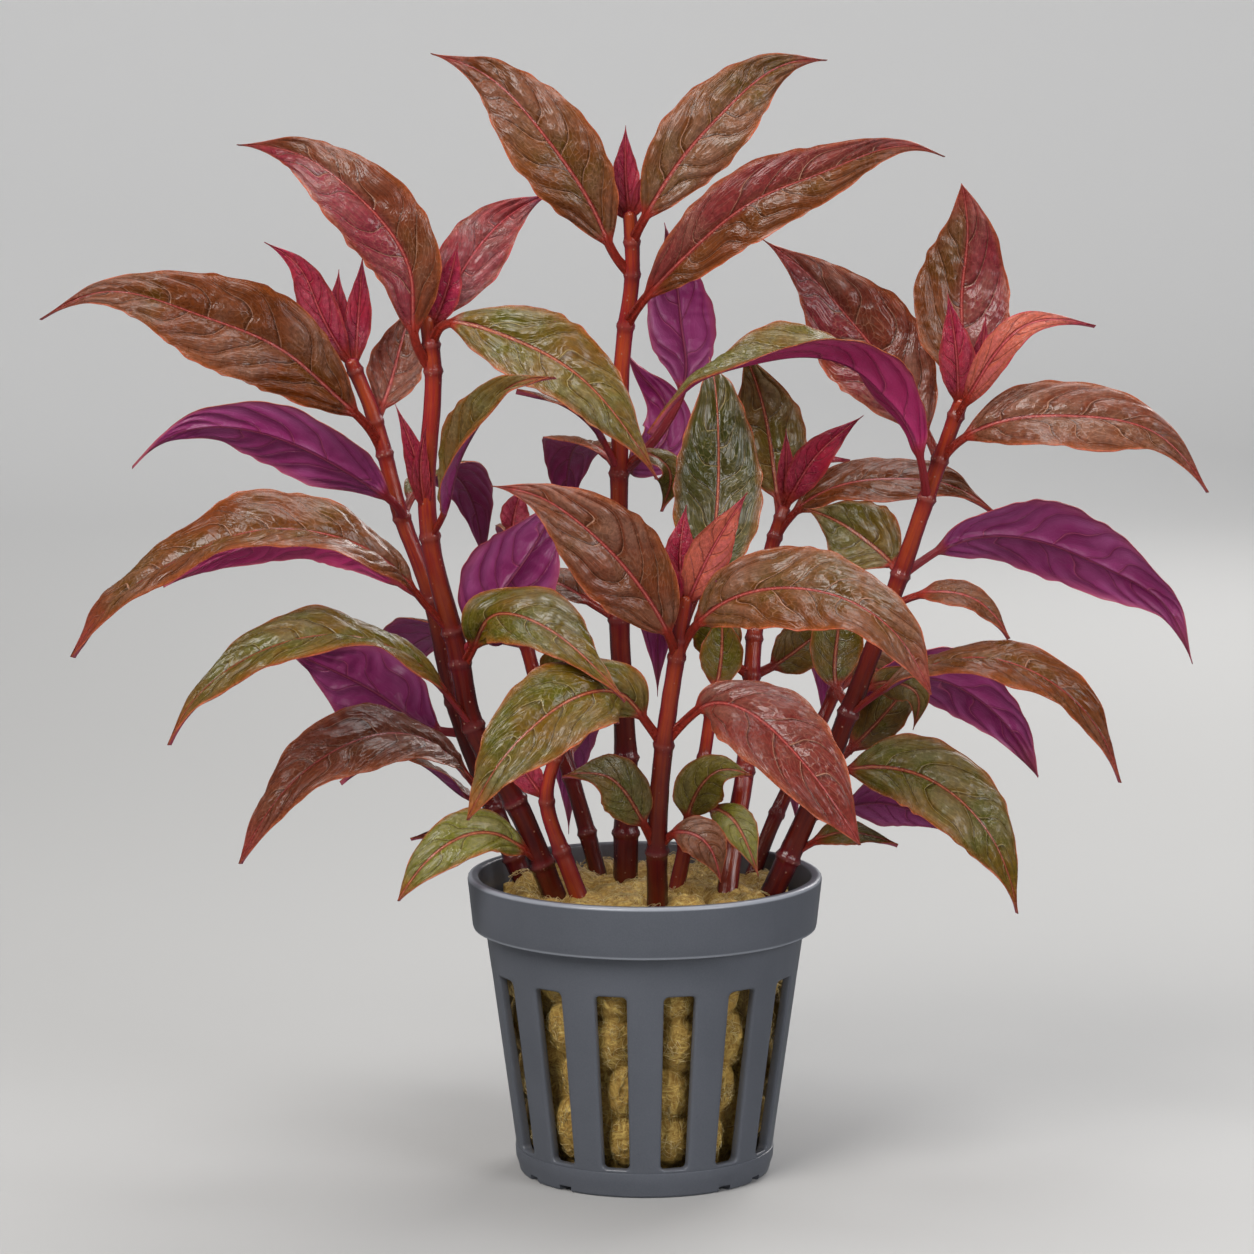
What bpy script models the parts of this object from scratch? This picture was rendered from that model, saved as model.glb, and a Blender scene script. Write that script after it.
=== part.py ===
"""A bush of Alternanthera reineckii in a grey net pot filled with mineral wool.

All sizes are in millimetres. The origin is the middle of the pot's underside, +Z is up, and the
front of the plant faces -Y. Places on the plant are written as (x, z, depth): x and z are read
where the point is seen from the front, in the upright plane through the pot's axis, and depth is
how far the point really lies behind that plane. Points in front of it have a negative depth.
"""

import math

import bmesh
import bpy
import numpy as np
from mathutils import Vector

MM = 0.001
GAP = 0.3
SHARP_ANGLE = math.radians(50)

# Place that the plant was measured from
EYE_X = -2.8
EYE_Z = 183.9
EYE_DISTANCE = 700.0

# Net pot
POT_HEIGHT = 47.5
RIM_RADIUS = 28.0
LIP_WIDTH = 1.7
BAND_HEIGHT = 8.3
BAND_FOOT_RADIUS = 27.2
BODY_TOP_RADIUS = 25.2
BODY_FOOT_RADIUS = 20.4
FOOT_HEIGHT = 3.9
FOOT_STEP = 0.15
BASE_RADIUS = 19.9
WALL = 1.4
FLOOR = 1.5
INNER_STEP_TOP = 41.0
INNER_STEP_FOOT = 38.0
SLOT_COUNT = 14
SLOT_HALF_ANGLE = math.radians(6.0)
SLOT_TOP = 32.7
SLOT_FOOT = 4.6
LIP_BEVEL = 0.5
BASE_BEVEL = 0.4
INNER_BEVEL = 0.3

# Mineral wool
WOOL_TOP = 45.0
WOOL_CLEARANCE = 0.45
WOOL_LUMP_DEPTH = 1.3
WOOL_LUMP_ROWS = 3
WOOL_MOUND = 0.9
WOOL_SHOULDER = 1.2
WOOL_TOP_RINGS = (0.85, 0.42)

# Stems
STEM_SIDES = 6
STEM_BURIED = 4.0
JOINT_SWELL = 1.3
JOINT_REACH = 1.7
STEM_SPAN = 20.0

# Leaves
STALK_SHARE = 0.13
SMALL_STALK_SHARE = 0.25
STALK_HALF_WIDTH = 0.75
STALK_MOST_OF_WIDTH = 0.12
STALK_THICKNESS = 1.1
BLADE_THICKNESS = 0.8
TIP_THICKNESS = 0.3
ABOVE_MIDRIB = 0.25
WIDEST_AT = 0.41
BASE_TAPER = 1.0
TIP_TAPER = 1.5
BLUNT = 1.0
LEAF_STATIONS = (0.10, 0.27, 0.46, 0.66, 0.85)
SMALL_STATIONS = (0.28, 0.66)
ACROSS = (-1.0, -0.5, 0.0, 0.5, 1.0)
SMALL_ACROSS = (-1.0, 0.0, 1.0)
FOLD = 13.0
DROOP = 0.16

# Ways that the upper side of a leaf faces
FRONT = (0.0, -1.0, 0.2)
FRONT_UP = (0.0, -0.8, 0.6)
UP_FRONT = (0.0, -0.55, 0.85)
UP = (0.0, -0.15, 1.0)
BACK_UP = (0.0, 0.85, 0.5)
UP_BACK = (0.0, 0.5, 0.85)
BACK = (0.0, 1.0, 0.15)

# Stem name: places from the top down, radius at the top and at the foot, heights of its joints
STEMS = {
    "stem_tall": dict(
        route=[(-2.5, 152, 0), (-2, 142, 1), (-3, 134, 2), (-4, 111, 4), (-4, 88, 5), (-3, 66, 4),
               (-3, 46, 3)],
        radii=(1.05, 2.0), joints=(147, 142, 134, 111, 88, 66, 54)),
    "stem_inner_left": dict(
        route=[(-34, 136, -8), (-33, 127, -8), (-34, 112, -8), (-33, 97, -8), (-29, 81, -8), (-27, 71, -8),
               (-21, 60, -7), (-14.5, 44.5, -5)],
        radii=(1.2, 1.95), joints=(131, 127, 101, 86, 81, 71, 59, 49)),
    "stem_outer_left": dict(
        route=[(-46, 129, 14), (-42, 119, 14), (-38, 104, 13), (-34, 93, 12), (-30.5, 77, 11), (-25, 61, 10),
               (-19.5, 47, 9)],
        radii=(1.1, 1.7), joints=(127, 119, 114, 104, 91, 75, 58, 50)),
    "stem_front": dict(
        route=[(6.5, 92, -24), (5, 82, -22), (3, 68, -19), (2, 53, -16), (2, 43, -14)],
        radii=(1.1, 1.75), joints=(85, 82, 68, 51)),
    "stem_outer_right": dict(
        route=[(49.5, 123, -4), (46, 113, -4), (40, 95, -4), (32, 73, -5), (24, 53, -6), (20, 44, -6)],
        radii=(1.1, 1.9), joints=(120, 113, 107, 95, 73, 62, 50)),
    "stem_inner_right": dict(
        route=[(22, 106, 18), (20, 100, 17), (17, 83, 12), (16, 66, 5), (14, 52, -2), (13, 44, -5)],
        radii=(1.0, 1.75), joints=(104, 101, 85, 79, 64, 54)),
    "stem_short_left": dict(
        route=[(-13, 68, -11), (-15.5, 60, -10.5), (-13.5, 52, -10), (-10.5, 44, -10)],
        radii=(0.9, 1.5), joints=(66, 59, 51)),
    "stem_back_left": dict(
        route=[(-21, 103, 22), (-20, 92, 21), (-17, 78, 18), (-12, 64, 16), (-7, 46, 14)],
        radii=(0.9, 1.5), joints=(101, 93, 84, 74, 63, 54)),
    "stem_short_front": dict(
        route=[(10.5, 75, 4), (9.5, 67, 3), (7.5, 57, 1), (5, 45, -1)],
        radii=(0.9, 1.3), joints=(73, 66, 58, 52)),
    "stem_back_right": dict(
        route=[(33, 86, 24), (30, 77, 22), (25, 66, 19), (20, 55, 16), (17, 47, 14)],
        radii=(0.9, 1.3), joints=(84, 76, 66, 57)),
}


def leaf(name, stem, joint, route, width, faces, tone, fold=FOLD, droop=DROOP, stalk=STALK_SHARE,
         taper=TIP_TAPER):
    """A leaf: the stem and the joint it grows from, its midrib, its true width and its upper side."""
    if isinstance(faces[0], float):
        faces = (faces,)
    return dict(name=name, stem=stem, joint=joint, route=route, width=width, faces=faces, tone=tone,
                fold=math.radians(fold), droop=droop, stalk=stalk, taper=taper)


LEAVES = [
    leaf("leaf_tall_1_right", "stem_tall", 147,
         [(-1, 149, -2), (5, 159, -4), (12, 167, -4), (22, 174.5, 0), (28, 175, 3)], 12.5, FRONT, "bronze"),
    leaf("leaf_tall_2_left", "stem_tall", 142,
         [(-4, 144, 0), (-7, 150, -2), (-16, 164, -4), (-25, 173, 0), (-33, 176, 4)], 13.5, FRONT, "bronze"),
    leaf("leaf_tall_3_right", "stem_tall", 134,
         [(-1, 137, -2), (8, 146.5, -8), (18, 154, -11), (27, 157.6, -11.5), (35, 160.8, -10),
          (41, 161.8, -8), (46.3, 160.2, -6)],
         11.5, FRONT, "bronze"),
    leaf("leaf_tall_3_back", "stem_tall", 111,
         [(-1, 113, 12), (3.5, 117.5, 18), (3, 122, 19), (-0.5, 126.3, 19), (-3.2, 130.5, 19)],
         8.5, BACK, "bronze"),
    leaf("leaf_tall_4_back_right", "stem_tall", 111,
         [(0, 114.5, 8), (4.8, 121.5, 9.5), (6.4, 127.5, 10), (5.8, 133, 10), (5, 140, 10), (3, 150, 11)],
         11.0, BACK, "bronze", stalk=0.4),
    leaf("leaf_tall_4_back_left", "stem_tall", 111,
         [(-6, 114, 12), (-10, 116, 24), (-12, 112, 36), (-13, 101, 44)], 11.0, UP_BACK, "bronze"),
    leaf("leaf_tall_5_back", "stem_tall", 88,
         [(-2, 92, 14), (1, 94, 27), (2, 88, 40), (2, 76, 47)], 11.5, UP_BACK, "olive"),

    leaf("leaf_inner_left_1_right", "stem_inner_left", 131,
         [(-31.5, 134, -11), (-22, 132.6, -15), (-10, 126, -19), (-1, 115, -21), (2, 110, -20)],
         13.5, (0.3, -1.0, 0.5), "olive"),
    leaf("leaf_inner_left_1_up", "stem_inner_left", 133,
         [(-32, 136, -4), (-26, 146, 0), (-19, 152.5, 4), (-14.5, 154.5, 7)], 10.0, FRONT, "young"),
    leaf("leaf_inner_left_2_left", "stem_inner_left", 127,
         [(-35.5, 131, -10), (-36.3, 141.5, -12), (-44.6, 154.2, -12), (-54, 160.7, -8), (-63, 162, -2)],
         12.5, FRONT, "bronze"),
    leaf("leaf_inner_left_3_right", "stem_inner_left", 101,
         [(-31.5, 105, -12), (-30, 111, -15), (-26, 119, -20), (-20, 125, -25), (-14, 126, -28)],
         11.5, (-1.0, -0.35, 0.3), "olive", fold=38),
    leaf("leaf_inner_left_4_left", "stem_inner_left", 86,
         [(-34, 90, -10), (-39, 96, -13), (-48, 101, -17), (-61, 102, -20), (-74, 97, -21), (-85, 89, -20),
          (-90, 82, -18)], 17.0,
         ((0.0, -0.5, 0.85), (0.0, -0.5, 0.85), (0.0, -0.36, 1.0), (0.0, -0.5, 0.85)),
         "bronze", fold=22, taper=BLUNT),
    leaf("leaf_inner_left_5_up", "stem_inner_left", 82,
         [(-26, 86, -9), (-23.7, 90.5, -8.5), (-19.1, 97.2, -7.5), (-13, 108, -5)],
         15.5, (-0.4, 1.0, 0.15), "young"),
    leaf("leaf_inner_left_5_right", "stem_inner_left", 80,
         [(-26.5, 84.5, -12), (-24, 88.5, -16), (-16, 87, -22), (-10, 82.5, -26), (-3, 75, -29)],
         12.5, (0.3, -0.8, 0.6), "olive"),
    leaf("leaf_inner_left_6_left", "stem_inner_left", 71,
         [(-30, 75, -11), (-35, 80.5, -14), (-43, 84.8, -18), (-52, 85.4, -22), (-63, 81.6, -24),
          (-71, 75, -25), (-75, 68, -24)], 14.5,
         ((0.0, -0.4, 1.0), (0.0, -0.36, 1.0), (0.0, -0.6, 0.85)), "olive", fold=16),
    leaf("leaf_inner_left_8_left", "stem_inner_left", 49,
         [(-20, 52, -9), (-23.5, 53.8, -11), (-29, 53.3, -14), (-35, 48.8, -16), (-39, 43, -16)],
         9.0, (0.0, -0.75, 0.7), "olive", taper=BLUNT),

    leaf("leaf_outer_left_2_back", "stem_outer_left", 119,
         [(-40, 124, 17), (-38, 131, 20), (-36, 138, 22)], 9.0, FRONT, "bronze"),
    leaf("leaf_outer_left_3_left", "stem_outer_left", 114,
         [(-43, 118, 12), (-48, 123, 10), (-56, 130, 8), (-70, 136, 6), (-84, 139.3, 6), (-94, 135, 8)],
         16.0, (0.0, -1.0, 0.4), "bronze", taper=1.8),
    leaf("leaf_outer_left_4_left", "stem_outer_left", 104,
         [(-38.5, 105.5, 10), (-44, 109.9, 6), (-54, 115.5, 3), (-66, 118.5, 2), (-75, 116.5, 3),
          (-80, 112, 5)],
         12.6, BACK_UP, "bronze", taper=2.2),
    leaf("leaf_outer_left_4_back", "stem_outer_left", 104,
         [(-36, 108, 20), (-31, 111.5, 30), (-27, 107, 39), (-25, 96, 45)], 10.5, UP_BACK, "olive"),
    leaf("leaf_outer_left_5_left", "stem_outer_left", 91,
         [(-38, 93.5, 15), (-47, 100.5, 19), (-57, 101, 22), (-67, 97.6, 23), (-75.5, 93.3, 23)],
         12.0, BACK_UP, "bronze"),
    leaf("leaf_outer_left_6_left", "stem_outer_left", 70,
         [(-33, 70.5, 13), (-40, 75, 16), (-49, 80, 17), (-57, 83.5, 16)], 15.0, BACK, "bronze"),
    leaf("leaf_outer_left_7_left", "stem_outer_left", 58,
         [(-27, 62, 7), (-32, 67.5, 2), (-40, 70, -4), (-50, 66.5, -8), (-59, 58, -10), (-64, 49, -9)],
         14.0, UP_FRONT, "bronze", taper=BLUNT),
    leaf("leaf_outer_left_7_back", "stem_outer_left", 58,
         [(-28, 60, 13), (-34.5, 65, 20), (-41, 66.5, 25), (-48, 62, 27)], 12.0, UP_BACK, "bronze"),

    leaf("leaf_front_1_back", "stem_front", 86,
         [(8, 92, -19), (10.5, 100, -13), (11.5, 112, -8), (11, 124, -3), (10, 129, 6)],
         14.0, FRONT, "olive"),
    leaf("leaf_front_1_left", "stem_front", 82,
         [(3.5, 86, -26), (-1, 93.5, -30), (-10, 103, -33), (-17, 107.5, -33), (-24, 109, -31)],
         14.0, FRONT, "bronze"),
    leaf("leaf_front_1_right", "stem_front", 82,
         [(8, 87, -25), (13, 91, -29), (23, 93, -35), (33, 90.5, -40), (40, 85, -43), (45, 76, -43)],
         14.5, (0.1, -0.9, 0.6), "bronze", taper=BLUNT),
    leaf("leaf_front_2_left", "stem_front", 68,
         [(0, 72, -21), (-3.5, 76, -24), (-10, 76, -29), (-17, 71.5, -33), (-23, 65, -35), (-28, 56, -35)],
         14.5, (-0.3, -0.9, 0.45), "olive", taper=BLUNT),
    leaf("leaf_front_2_right", "stem_front", 68.5,
         [(6, 71.5, -21), (10, 74.5, -24), (16, 73.5, -29), (23, 67.5, -34), (29, 60, -37), (34, 52, -37)],
         15.0, (0.35, -0.9, 0.4), "bronze", stalk=0.18, taper=BLUNT),

    leaf("leaf_outer_right_1_back", "stem_outer_right", 120,
         [(49.5, 127, 0), (49.2, 139, 3), (50, 149, 3), (49, 156, 2)],
         15.5, FRONT, "bronze", taper=BLUNT),
    leaf("leaf_outer_right_1_right", "stem_outer_right", 119,
         [(51, 124, -9), (54, 129, -12), (59, 134, -13), (70, 134, -11)], 5.5, FRONT_UP, "young"),
    leaf("leaf_outer_right_2_left", "stem_outer_right", 113,
         [(43.5, 118, 0), (38.2, 127, 3), (32, 134.8, 5), (25.8, 141.6, 5), (18.3, 147.4, 4)],
         16.5, FRONT, "bronze"),
    leaf("leaf_outer_right_2_right", "stem_outer_right", 113,
         [(49, 116, -7), (55, 119, -10), (67, 120, -13), (79.5, 117.4, -14), (88, 108, -13)],
         12.5, FRONT_UP, "bronze"),
    leaf("leaf_outer_right_3_left", "stem_outer_right", 107,
         [(43.2, 112.5, -8), (41, 118.8, -10), (37.2, 123.6, -12), (32.5, 127.8, -14.5),
          (26.5, 129.6, -16.5), (17, 128.5, -18), (7, 124.8, -17), (0.5, 117.2, -15)],
         13.0, ((0.3, 1.0, 0.2), (0.44, 0.84, 0.33), (0.3, 0.3, 0.9), (0.0, -0.35, 1.0), (0.0, -0.35, 1.0),
                (-0.1, -0.2, 1.0)),
         "olive", fold=32, droop=0.0),
    leaf("leaf_outer_right_4_right", "stem_outer_right", 95,
         [(43, 97, -2), (49, 100.5, 2), (60, 101, 5), (73, 96, 6), (81.5, 90.5, 6), (86, 81, 6)],
         14.5, BACK_UP, "young"),
    leaf("leaf_outer_right_4_left", "stem_outer_right", 95,
         [(38, 97.5, -1), (34.5, 100.5, 2), (30, 103.5, 4), (25, 105.5, 4)], 12.5, FRONT, "olive"),
    leaf("leaf_outer_right_5_right", "stem_outer_right", 73,
         [(36, 76, -8), (43, 80, -11), (53, 82, -14), (64, 78, -16), (71, 71, -16), (75, 62, -15)],
         13.0, ((0.0, -0.5, 0.85), (0.0, -0.25, 1.0), (0.0, -0.3, 1.0), (0.0, -0.6, 0.85),
                (0.0, -0.6, 0.85)), "bronze"),
    leaf("leaf_outer_right_5_back", "stem_outer_right", 73,
         [(35, 76, 4), (43, 79, 10), (51, 76.5, 14), (58, 70, 16), (62, 63, 17)],
         12.5, BACK_UP, "young", taper=BLUNT),
    leaf("leaf_outer_right_6_right", "stem_outer_right", 62,
         [(32, 64, -9), (41, 64, -12), (50, 59, -15), (56, 51, -16), (59, 41, -15)],
         14.5, (0.2, -0.8, 0.6), "olive"),

    leaf("leaf_inner_right_1_left", "stem_inner_right", 104,
         [(20.5, 109, 21), (19.5, 116, 24), (18, 123, 26), (15, 131, 26)], 12.5, FRONT, "olive"),
    leaf("leaf_inner_right_2_right", "stem_inner_right", 101,
         [(24, 105.5, 16), (30, 109, 14), (40, 110.2, 12), (48, 109, 12), (55, 104.5, 12)],
         12.0, UP_FRONT, "bronze"),
    leaf("leaf_inner_right_5_back", "stem_inner_right", 64,
         [(18, 69, 16), (21, 72, 29), (23, 66, 42), (24, 55, 50)], 11.5, UP_BACK, "olive"),

    leaf("leaf_back_left_1_back", "stem_back_left", 99,
         [(-20, 101.5, 31), (-18.5, 102, 45), (-18, 95, 57), (-18, 84, 63)], 10.5, UP_BACK, "bronze"),
    leaf("leaf_back_left_2_left", "stem_back_left", 84,
         [(-24, 85, 26), (-33, 86, 38), (-41, 79.5, 48), (-46, 70, 53)], 12.5, UP_BACK, "bronze"),
    leaf("leaf_back_left_3_back", "stem_back_left", 63,
         [(-12, 69, 27), (-12, 73, 40), (-12, 66, 52), (-12, 54, 58)], 12.0, UP_BACK, "olive"),
    leaf("leaf_back_right_1_up", "stem_back_right", 82,
         [(32, 87, 32), (30, 89, 44), (29, 81, 55), (28, 70, 61)], 11.5, UP_BACK, "bronze"),
    leaf("leaf_back_right_2_right", "stem_back_right", 76,
         [(33, 79, 27), (36.5, 80, 31), (36.5, 75, 34), (32.5, 66.5, 35)], 7.0, (0.3, -1.0, 0.2), "bronze"),
]

# Small leaves and shoot tips, grown in one with their stem
SMALL_LEAVES = [
    leaf("tall_tip", "stem_tall", 150, [(-3, 157, 0), (-3, 165, 0)], 4.5, FRONT, "young"),
    leaf("tall_tip_right", "stem_tall", 150, [(0, 155, -1), (3, 162, -2)], 3.2, FRONT, "young"),
    leaf("tall_tip_left", "stem_tall", 150, [(-5, 154, 1), (-7, 159, 1)], 3.2, FRONT, "young"),
    leaf("tall_4_right", "stem_tall", 111,
         [(0, 114, 3), (3.5, 112, 4), (2.5, 105, 5)], 6.0, UP_FRONT, "olive"),
    leaf("tall_4_left", "stem_tall", 111, [(-7, 117, 1), (-13, 122, -2), (-20, 124, -4)], 6.0, UP, "bronze"),
    leaf("tall_5_left", "stem_tall", 88, [(-9, 91, 4), (-15, 94, 4), (-23, 88, 4)], 8.5, UP_FRONT, "bronze"),

    leaf("inner_left_tip", "stem_inner_left", 134, [(-33.5, 140, -8), (-34, 147, -8)], 3.4, FRONT, "young"),
    leaf("inner_left_tip_right", "stem_inner_left", 133,
         [(-31, 139, -10), (-29, 147, -11)], 5, FRONT, "young"),
    leaf("inner_left_bud", "stem_inner_left", 103, [(-36, 114, -11), (-39, 122, -12)], 4, FRONT, "young"),
    leaf("inner_left_bud_right", "stem_inner_left", 104,
         [(-35, 112, -11), (-34, 119, -12)], 3, FRONT, "young"),
    leaf("outer_left_tip_left", "stem_outer_left", 127,
         [(-50.7, 136.7, 13), (-53.8, 143.3, 12), (-59, 147, 11)], 6.5, FRONT, "young"),
    leaf("outer_left_tip_right", "stem_outer_left", 127,
         [(-44.5, 136, 15), (-43.8, 145, 15)], 4.6, FRONT, "young"),
    leaf("outer_left_tip_back", "stem_outer_left", 127,
         [(-47.6, 136, 17), (-47.5, 142.8, 18)], 5, FRONT, "young"),
    leaf("outer_left_8_left", "stem_outer_left", 50, [(-28, 54, 8), (-37, 53, 9)], 4.5, UP_FRONT, "bronze"),

    leaf("front_tip_right", "stem_front", 89, [(10, 98, -26), (16, 108, -28)], 7.0, FRONT, "young"),
    leaf("front_tip_left", "stem_front", 89, [(2, 96, -26), (-3, 102, -28)], 5.5, FRONT, "young"),
    leaf("front_tip_back", "stem_front", 90, [(5.5, 98, -23), (6.5, 106, -22)], 5.5, FRONT, "young"),
    leaf("front_3_left", "stem_front", 51,
         [(-1, 57, -19), (-6, 63, -21), (-13, 63, -23)], 9, FRONT_UP, "olive"),
    leaf("front_3_right", "stem_front", 51,
         [(5, 54, -18), (9, 53, -20), (12, 46, -20)], 7, FRONT_UP, "bronze"),

    leaf("outer_right_tip", "stem_outer_right", 121, [(48.5, 129, -7), (47, 139, -8)], 6, FRONT, "young"),
    leaf("outer_right_tip_right", "stem_outer_right", 121,
         [(52, 129, -6), (53, 136, -6)], 3.5, FRONT, "young"),
    leaf("outer_right_4_front", "stem_outer_right", 90,
         [(45, 92.3, -8), (52, 91, -9.5), (57.2, 84.9, -10)], 6.5, UP_FRONT, "bronze"),
    leaf("outer_right_5_low", "stem_outer_right", 75,
         [(38.5, 78, 1), (42.5, 76.5, 0), (42.2, 70.4, -1)], 5.5, FRONT, "olive"),
    leaf("outer_right_5_left", "stem_outer_right", 74,
         [(30, 78, 1), (30.3, 86, 4), (31.3, 95, 7)], 8.5, FRONT, "olive"),
    leaf("outer_right_6_up", "stem_outer_right", 64, [(36, 71, 3), (45, 82, 8)], 7, FRONT, "olive"),
    leaf("outer_right_6_back", "stem_outer_right", 56,
         [(37, 59, 2), (50.5, 53.5, 7)], 9.5, BACK_UP, "bronze"),
    leaf("outer_right_7_right", "stem_outer_right", 50, [(31, 54, -8), (40, 52, -9)], 5.5, UP_FRONT, "olive"),

    leaf("inner_right_tip", "stem_inner_right", 105, [(22, 111, 17), (22, 118, 17)], 3.0, FRONT, "young"),
    leaf("inner_right_tip_right", "stem_inner_right", 105, [(27, 114, 15), (34, 120, 13)], 6, FRONT, "young"),
    leaf("inner_right_tip_back", "stem_inner_right", 105,
         [(27, 113, 20), (32, 113, 21)], 5, UP_FRONT, "young"),
    leaf("inner_right_4_left", "stem_inner_right", 79,
         [(14, 81, 9), (11, 86, 8), (8.5, 92, 6)], 8, FRONT, "olive"),
    leaf("inner_right_4_right", "stem_inner_right", 79,
         [(20, 80.5, 13), (25, 84, 15), (30, 88, 16)], 8, FRONT, "olive"),

    leaf("short_left_tip", "stem_short_left", 66, [(-13, 72, -12), (-11, 78, -13)], 5, FRONT, "young"),
    leaf("short_left_side", "stem_short_left", 59, [(-19, 64, -11), (-22, 70, -12)], 5, FRONT, "young"),
    leaf("back_left_tip", "stem_back_left", 101, [(-20, 106, 21), (-19, 109, 21)], 5, FRONT, "young"),
    leaf("back_left_side", "stem_back_left", 74, [(-13, 80, 17), (-9, 84, 17)], 8, FRONT, "olive"),
    leaf("short_front_tip", "stem_short_front", 73, [(12, 82, 4), (12, 90, 4)], 7, FRONT, "olive"),
    leaf("short_front_3_right", "stem_short_front", 58, [(14, 56, -8), (18, 47, -12)], 6, FRONT_UP, "olive"),
    leaf("short_front_4_right", "stem_short_front", 52, [(8, 60, -3), (12, 64, -4), (17, 63, -4)], 8.5,
         FRONT_UP, "olive"),
    leaf("back_right_tip", "stem_back_right", 84, [(33, 91, 23), (34, 97, 22)], 6, FRONT, "young"),
]

TONES = {
    "bronze": (0.26, 0.09, 0.06),
    "olive": (0.20, 0.15, 0.05),
    "young": (0.42, 0.03, 0.12),
}


def seen(place):
    """The real point for a place that is written as (x, z, depth)."""
    x, z, depth = place
    reach = 1 + depth / EYE_DISTANCE
    return np.array([EYE_X + (x - EYE_X) * reach, depth, EYE_Z + (z - EYE_Z) * reach])


def unit(vector):
    """The vector at a length of 1."""
    return vector / np.linalg.norm(vector)


def spline(points, steps=240):
    """Points along the natural cubic curve through the given points, evenly spaced by length."""
    points = np.array(points, dtype=float)
    chords = np.linalg.norm(np.diff(points, axis=0), axis=1)
    knots = np.concatenate([[0.0], np.cumsum(chords)])
    count = len(points)
    matrix = np.eye(count)
    right = np.zeros_like(points)
    for i in range(1, count - 1):
        before = chords[i - 1]
        after = chords[i]
        matrix[i, i - 1] = before
        matrix[i, i] = 2 * (before + after)
        matrix[i, i + 1] = after
        right[i] = 6 * ((points[i + 1] - points[i]) / after - (points[i] - points[i - 1]) / before)
    bends = np.linalg.solve(matrix, right)
    places = np.linspace(0, knots[-1], steps)
    fine = []
    for place in places:
        i = min(np.searchsorted(knots, place, side="right") - 1, count - 2)
        span = chords[i]
        a = (knots[i + 1] - place) / span
        b = 1 - a
        bend = ((a ** 3 - a) * bends[i] + (b ** 3 - b) * bends[i + 1]) * span * span / 6
        fine.append(a * points[i] + b * points[i + 1] + bend)
    fine = np.array(fine)
    lengths = np.concatenate([[0.0], np.cumsum(np.linalg.norm(np.diff(fine, axis=0), axis=1))])
    even = np.linspace(0, lengths[-1], steps)
    return np.stack([np.interp(even, lengths, fine[:, axis]) for axis in range(3)], axis=1)


def along(curve, share):
    """The point and the direction at a share of the curve's length."""
    steps = len(curve) - 1
    place = share * steps
    point = np.array([np.interp(place, range(steps + 1), curve[:, axis]) for axis in range(3)])
    low = max(int(place) - 1, 0)
    high = min(int(place) + 2, steps)
    return point, unit(curve[high] - curve[low])


def stem_curve(name):
    """The stem's middle line from its top to its foot, buried a little way in the wool."""
    points = [seen(place) for place in STEMS[name]["route"]]
    points.append(points[-1] + unit(points[-1] - points[-2]) * STEM_BURIED)
    return spline(points)


def seen_heights(curve):
    """The heights at which the points of a curve are seen."""
    reach = 1 + curve[:, 1] / EYE_DISTANCE
    return EYE_Z + (curve[:, 2] - EYE_Z) / reach


def share_at_height(curve, height):
    """How far down a stem's curve the seen height lies."""
    heights = seen_heights(curve)
    return float(np.interp(-height, -heights, np.linspace(0, 1, len(curve))))


def stem_radius(name, share):
    """A stem's radius between its joints."""
    top, foot = STEMS[name]["radii"]
    return top + (foot - top) * share


def new_object(name, points, faces, material, smooth=True):
    """A named object from points in millimetres."""
    mesh = bpy.data.meshes.new(name)
    mesh.from_pydata([Vector(point) * MM for point in points], [], faces)
    mesh.materials.append(material)
    clean = bmesh.new()
    clean.from_mesh(mesh)
    bmesh.ops.recalc_face_normals(clean, faces=clean.faces)
    clean.to_mesh(mesh)
    clean.free()
    if smooth:
        mesh.shade_smooth()
        mesh.set_sharp_from_angle(angle=SHARP_ANGLE)
    item = bpy.data.objects.new(name, mesh)
    bpy.context.scene.collection.objects.link(item)
    return item


def material(name, colour, roughness, metallic=0.0):
    """A plain finish."""
    finish = bpy.data.materials.new(name)
    finish.use_nodes = True
    shader = finish.node_tree.nodes["Principled BSDF"]
    shader.inputs["Base Color"].default_value = (*colour, 1.0)
    shader.inputs["Roughness"].default_value = roughness
    shader.inputs["Metallic"].default_value = metallic
    finish.diffuse_color = (*colour, 1.0)
    return finish


def combine(base, others, operation):
    """Joins other solids to the base, or cuts them from it, and removes them."""
    for other in others:
        step = base.modifiers.new("combine", 'BOOLEAN')
        step.operation = operation
        step.solver = 'EXACT'
        step.object = other
    depsgraph = bpy.context.evaluated_depsgraph_get()
    mesh = bpy.data.meshes.new_from_object(base.evaluated_get(depsgraph))
    base.modifiers.clear()
    base.data = mesh
    for other in others:
        bpy.data.objects.remove(other)
    base.data.shade_smooth()
    base.data.set_sharp_from_angle(angle=SHARP_ANGLE)


def ring_faces(rings, sides):
    """Faces between rings of points, with a flat face on each end."""
    faces = []
    for ring in range(rings - 1):
        for side in range(sides):
            after = (side + 1) % sides
            faces.append((ring * sides + side, ring * sides + after,
                          (ring + 1) * sides + after, (ring + 1) * sides + side))
    faces.append(tuple(range(sides)))
    faces.append(tuple((rings - 1) * sides + side for side in reversed(range(sides))))
    return faces


def bulging_triangles(points, faces):
    """The faces with each quad split along the diagonal that stands further out, so thin sides stay apart."""
    triangles = []
    for face in faces:
        if len(face) != 4:
            triangles.append(face)
            continue
        a, b, c, d = (points[corner] for corner in face)
        outward = np.cross(c - a, d - b)
        turn = 0 if outward.dot(a + c - b - d) > 0 else 1
        first, second, third, fourth = face[turn:] + face[:turn]
        triangles += [(first, second, third), (first, third, fourth)]
    return triangles


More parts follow.
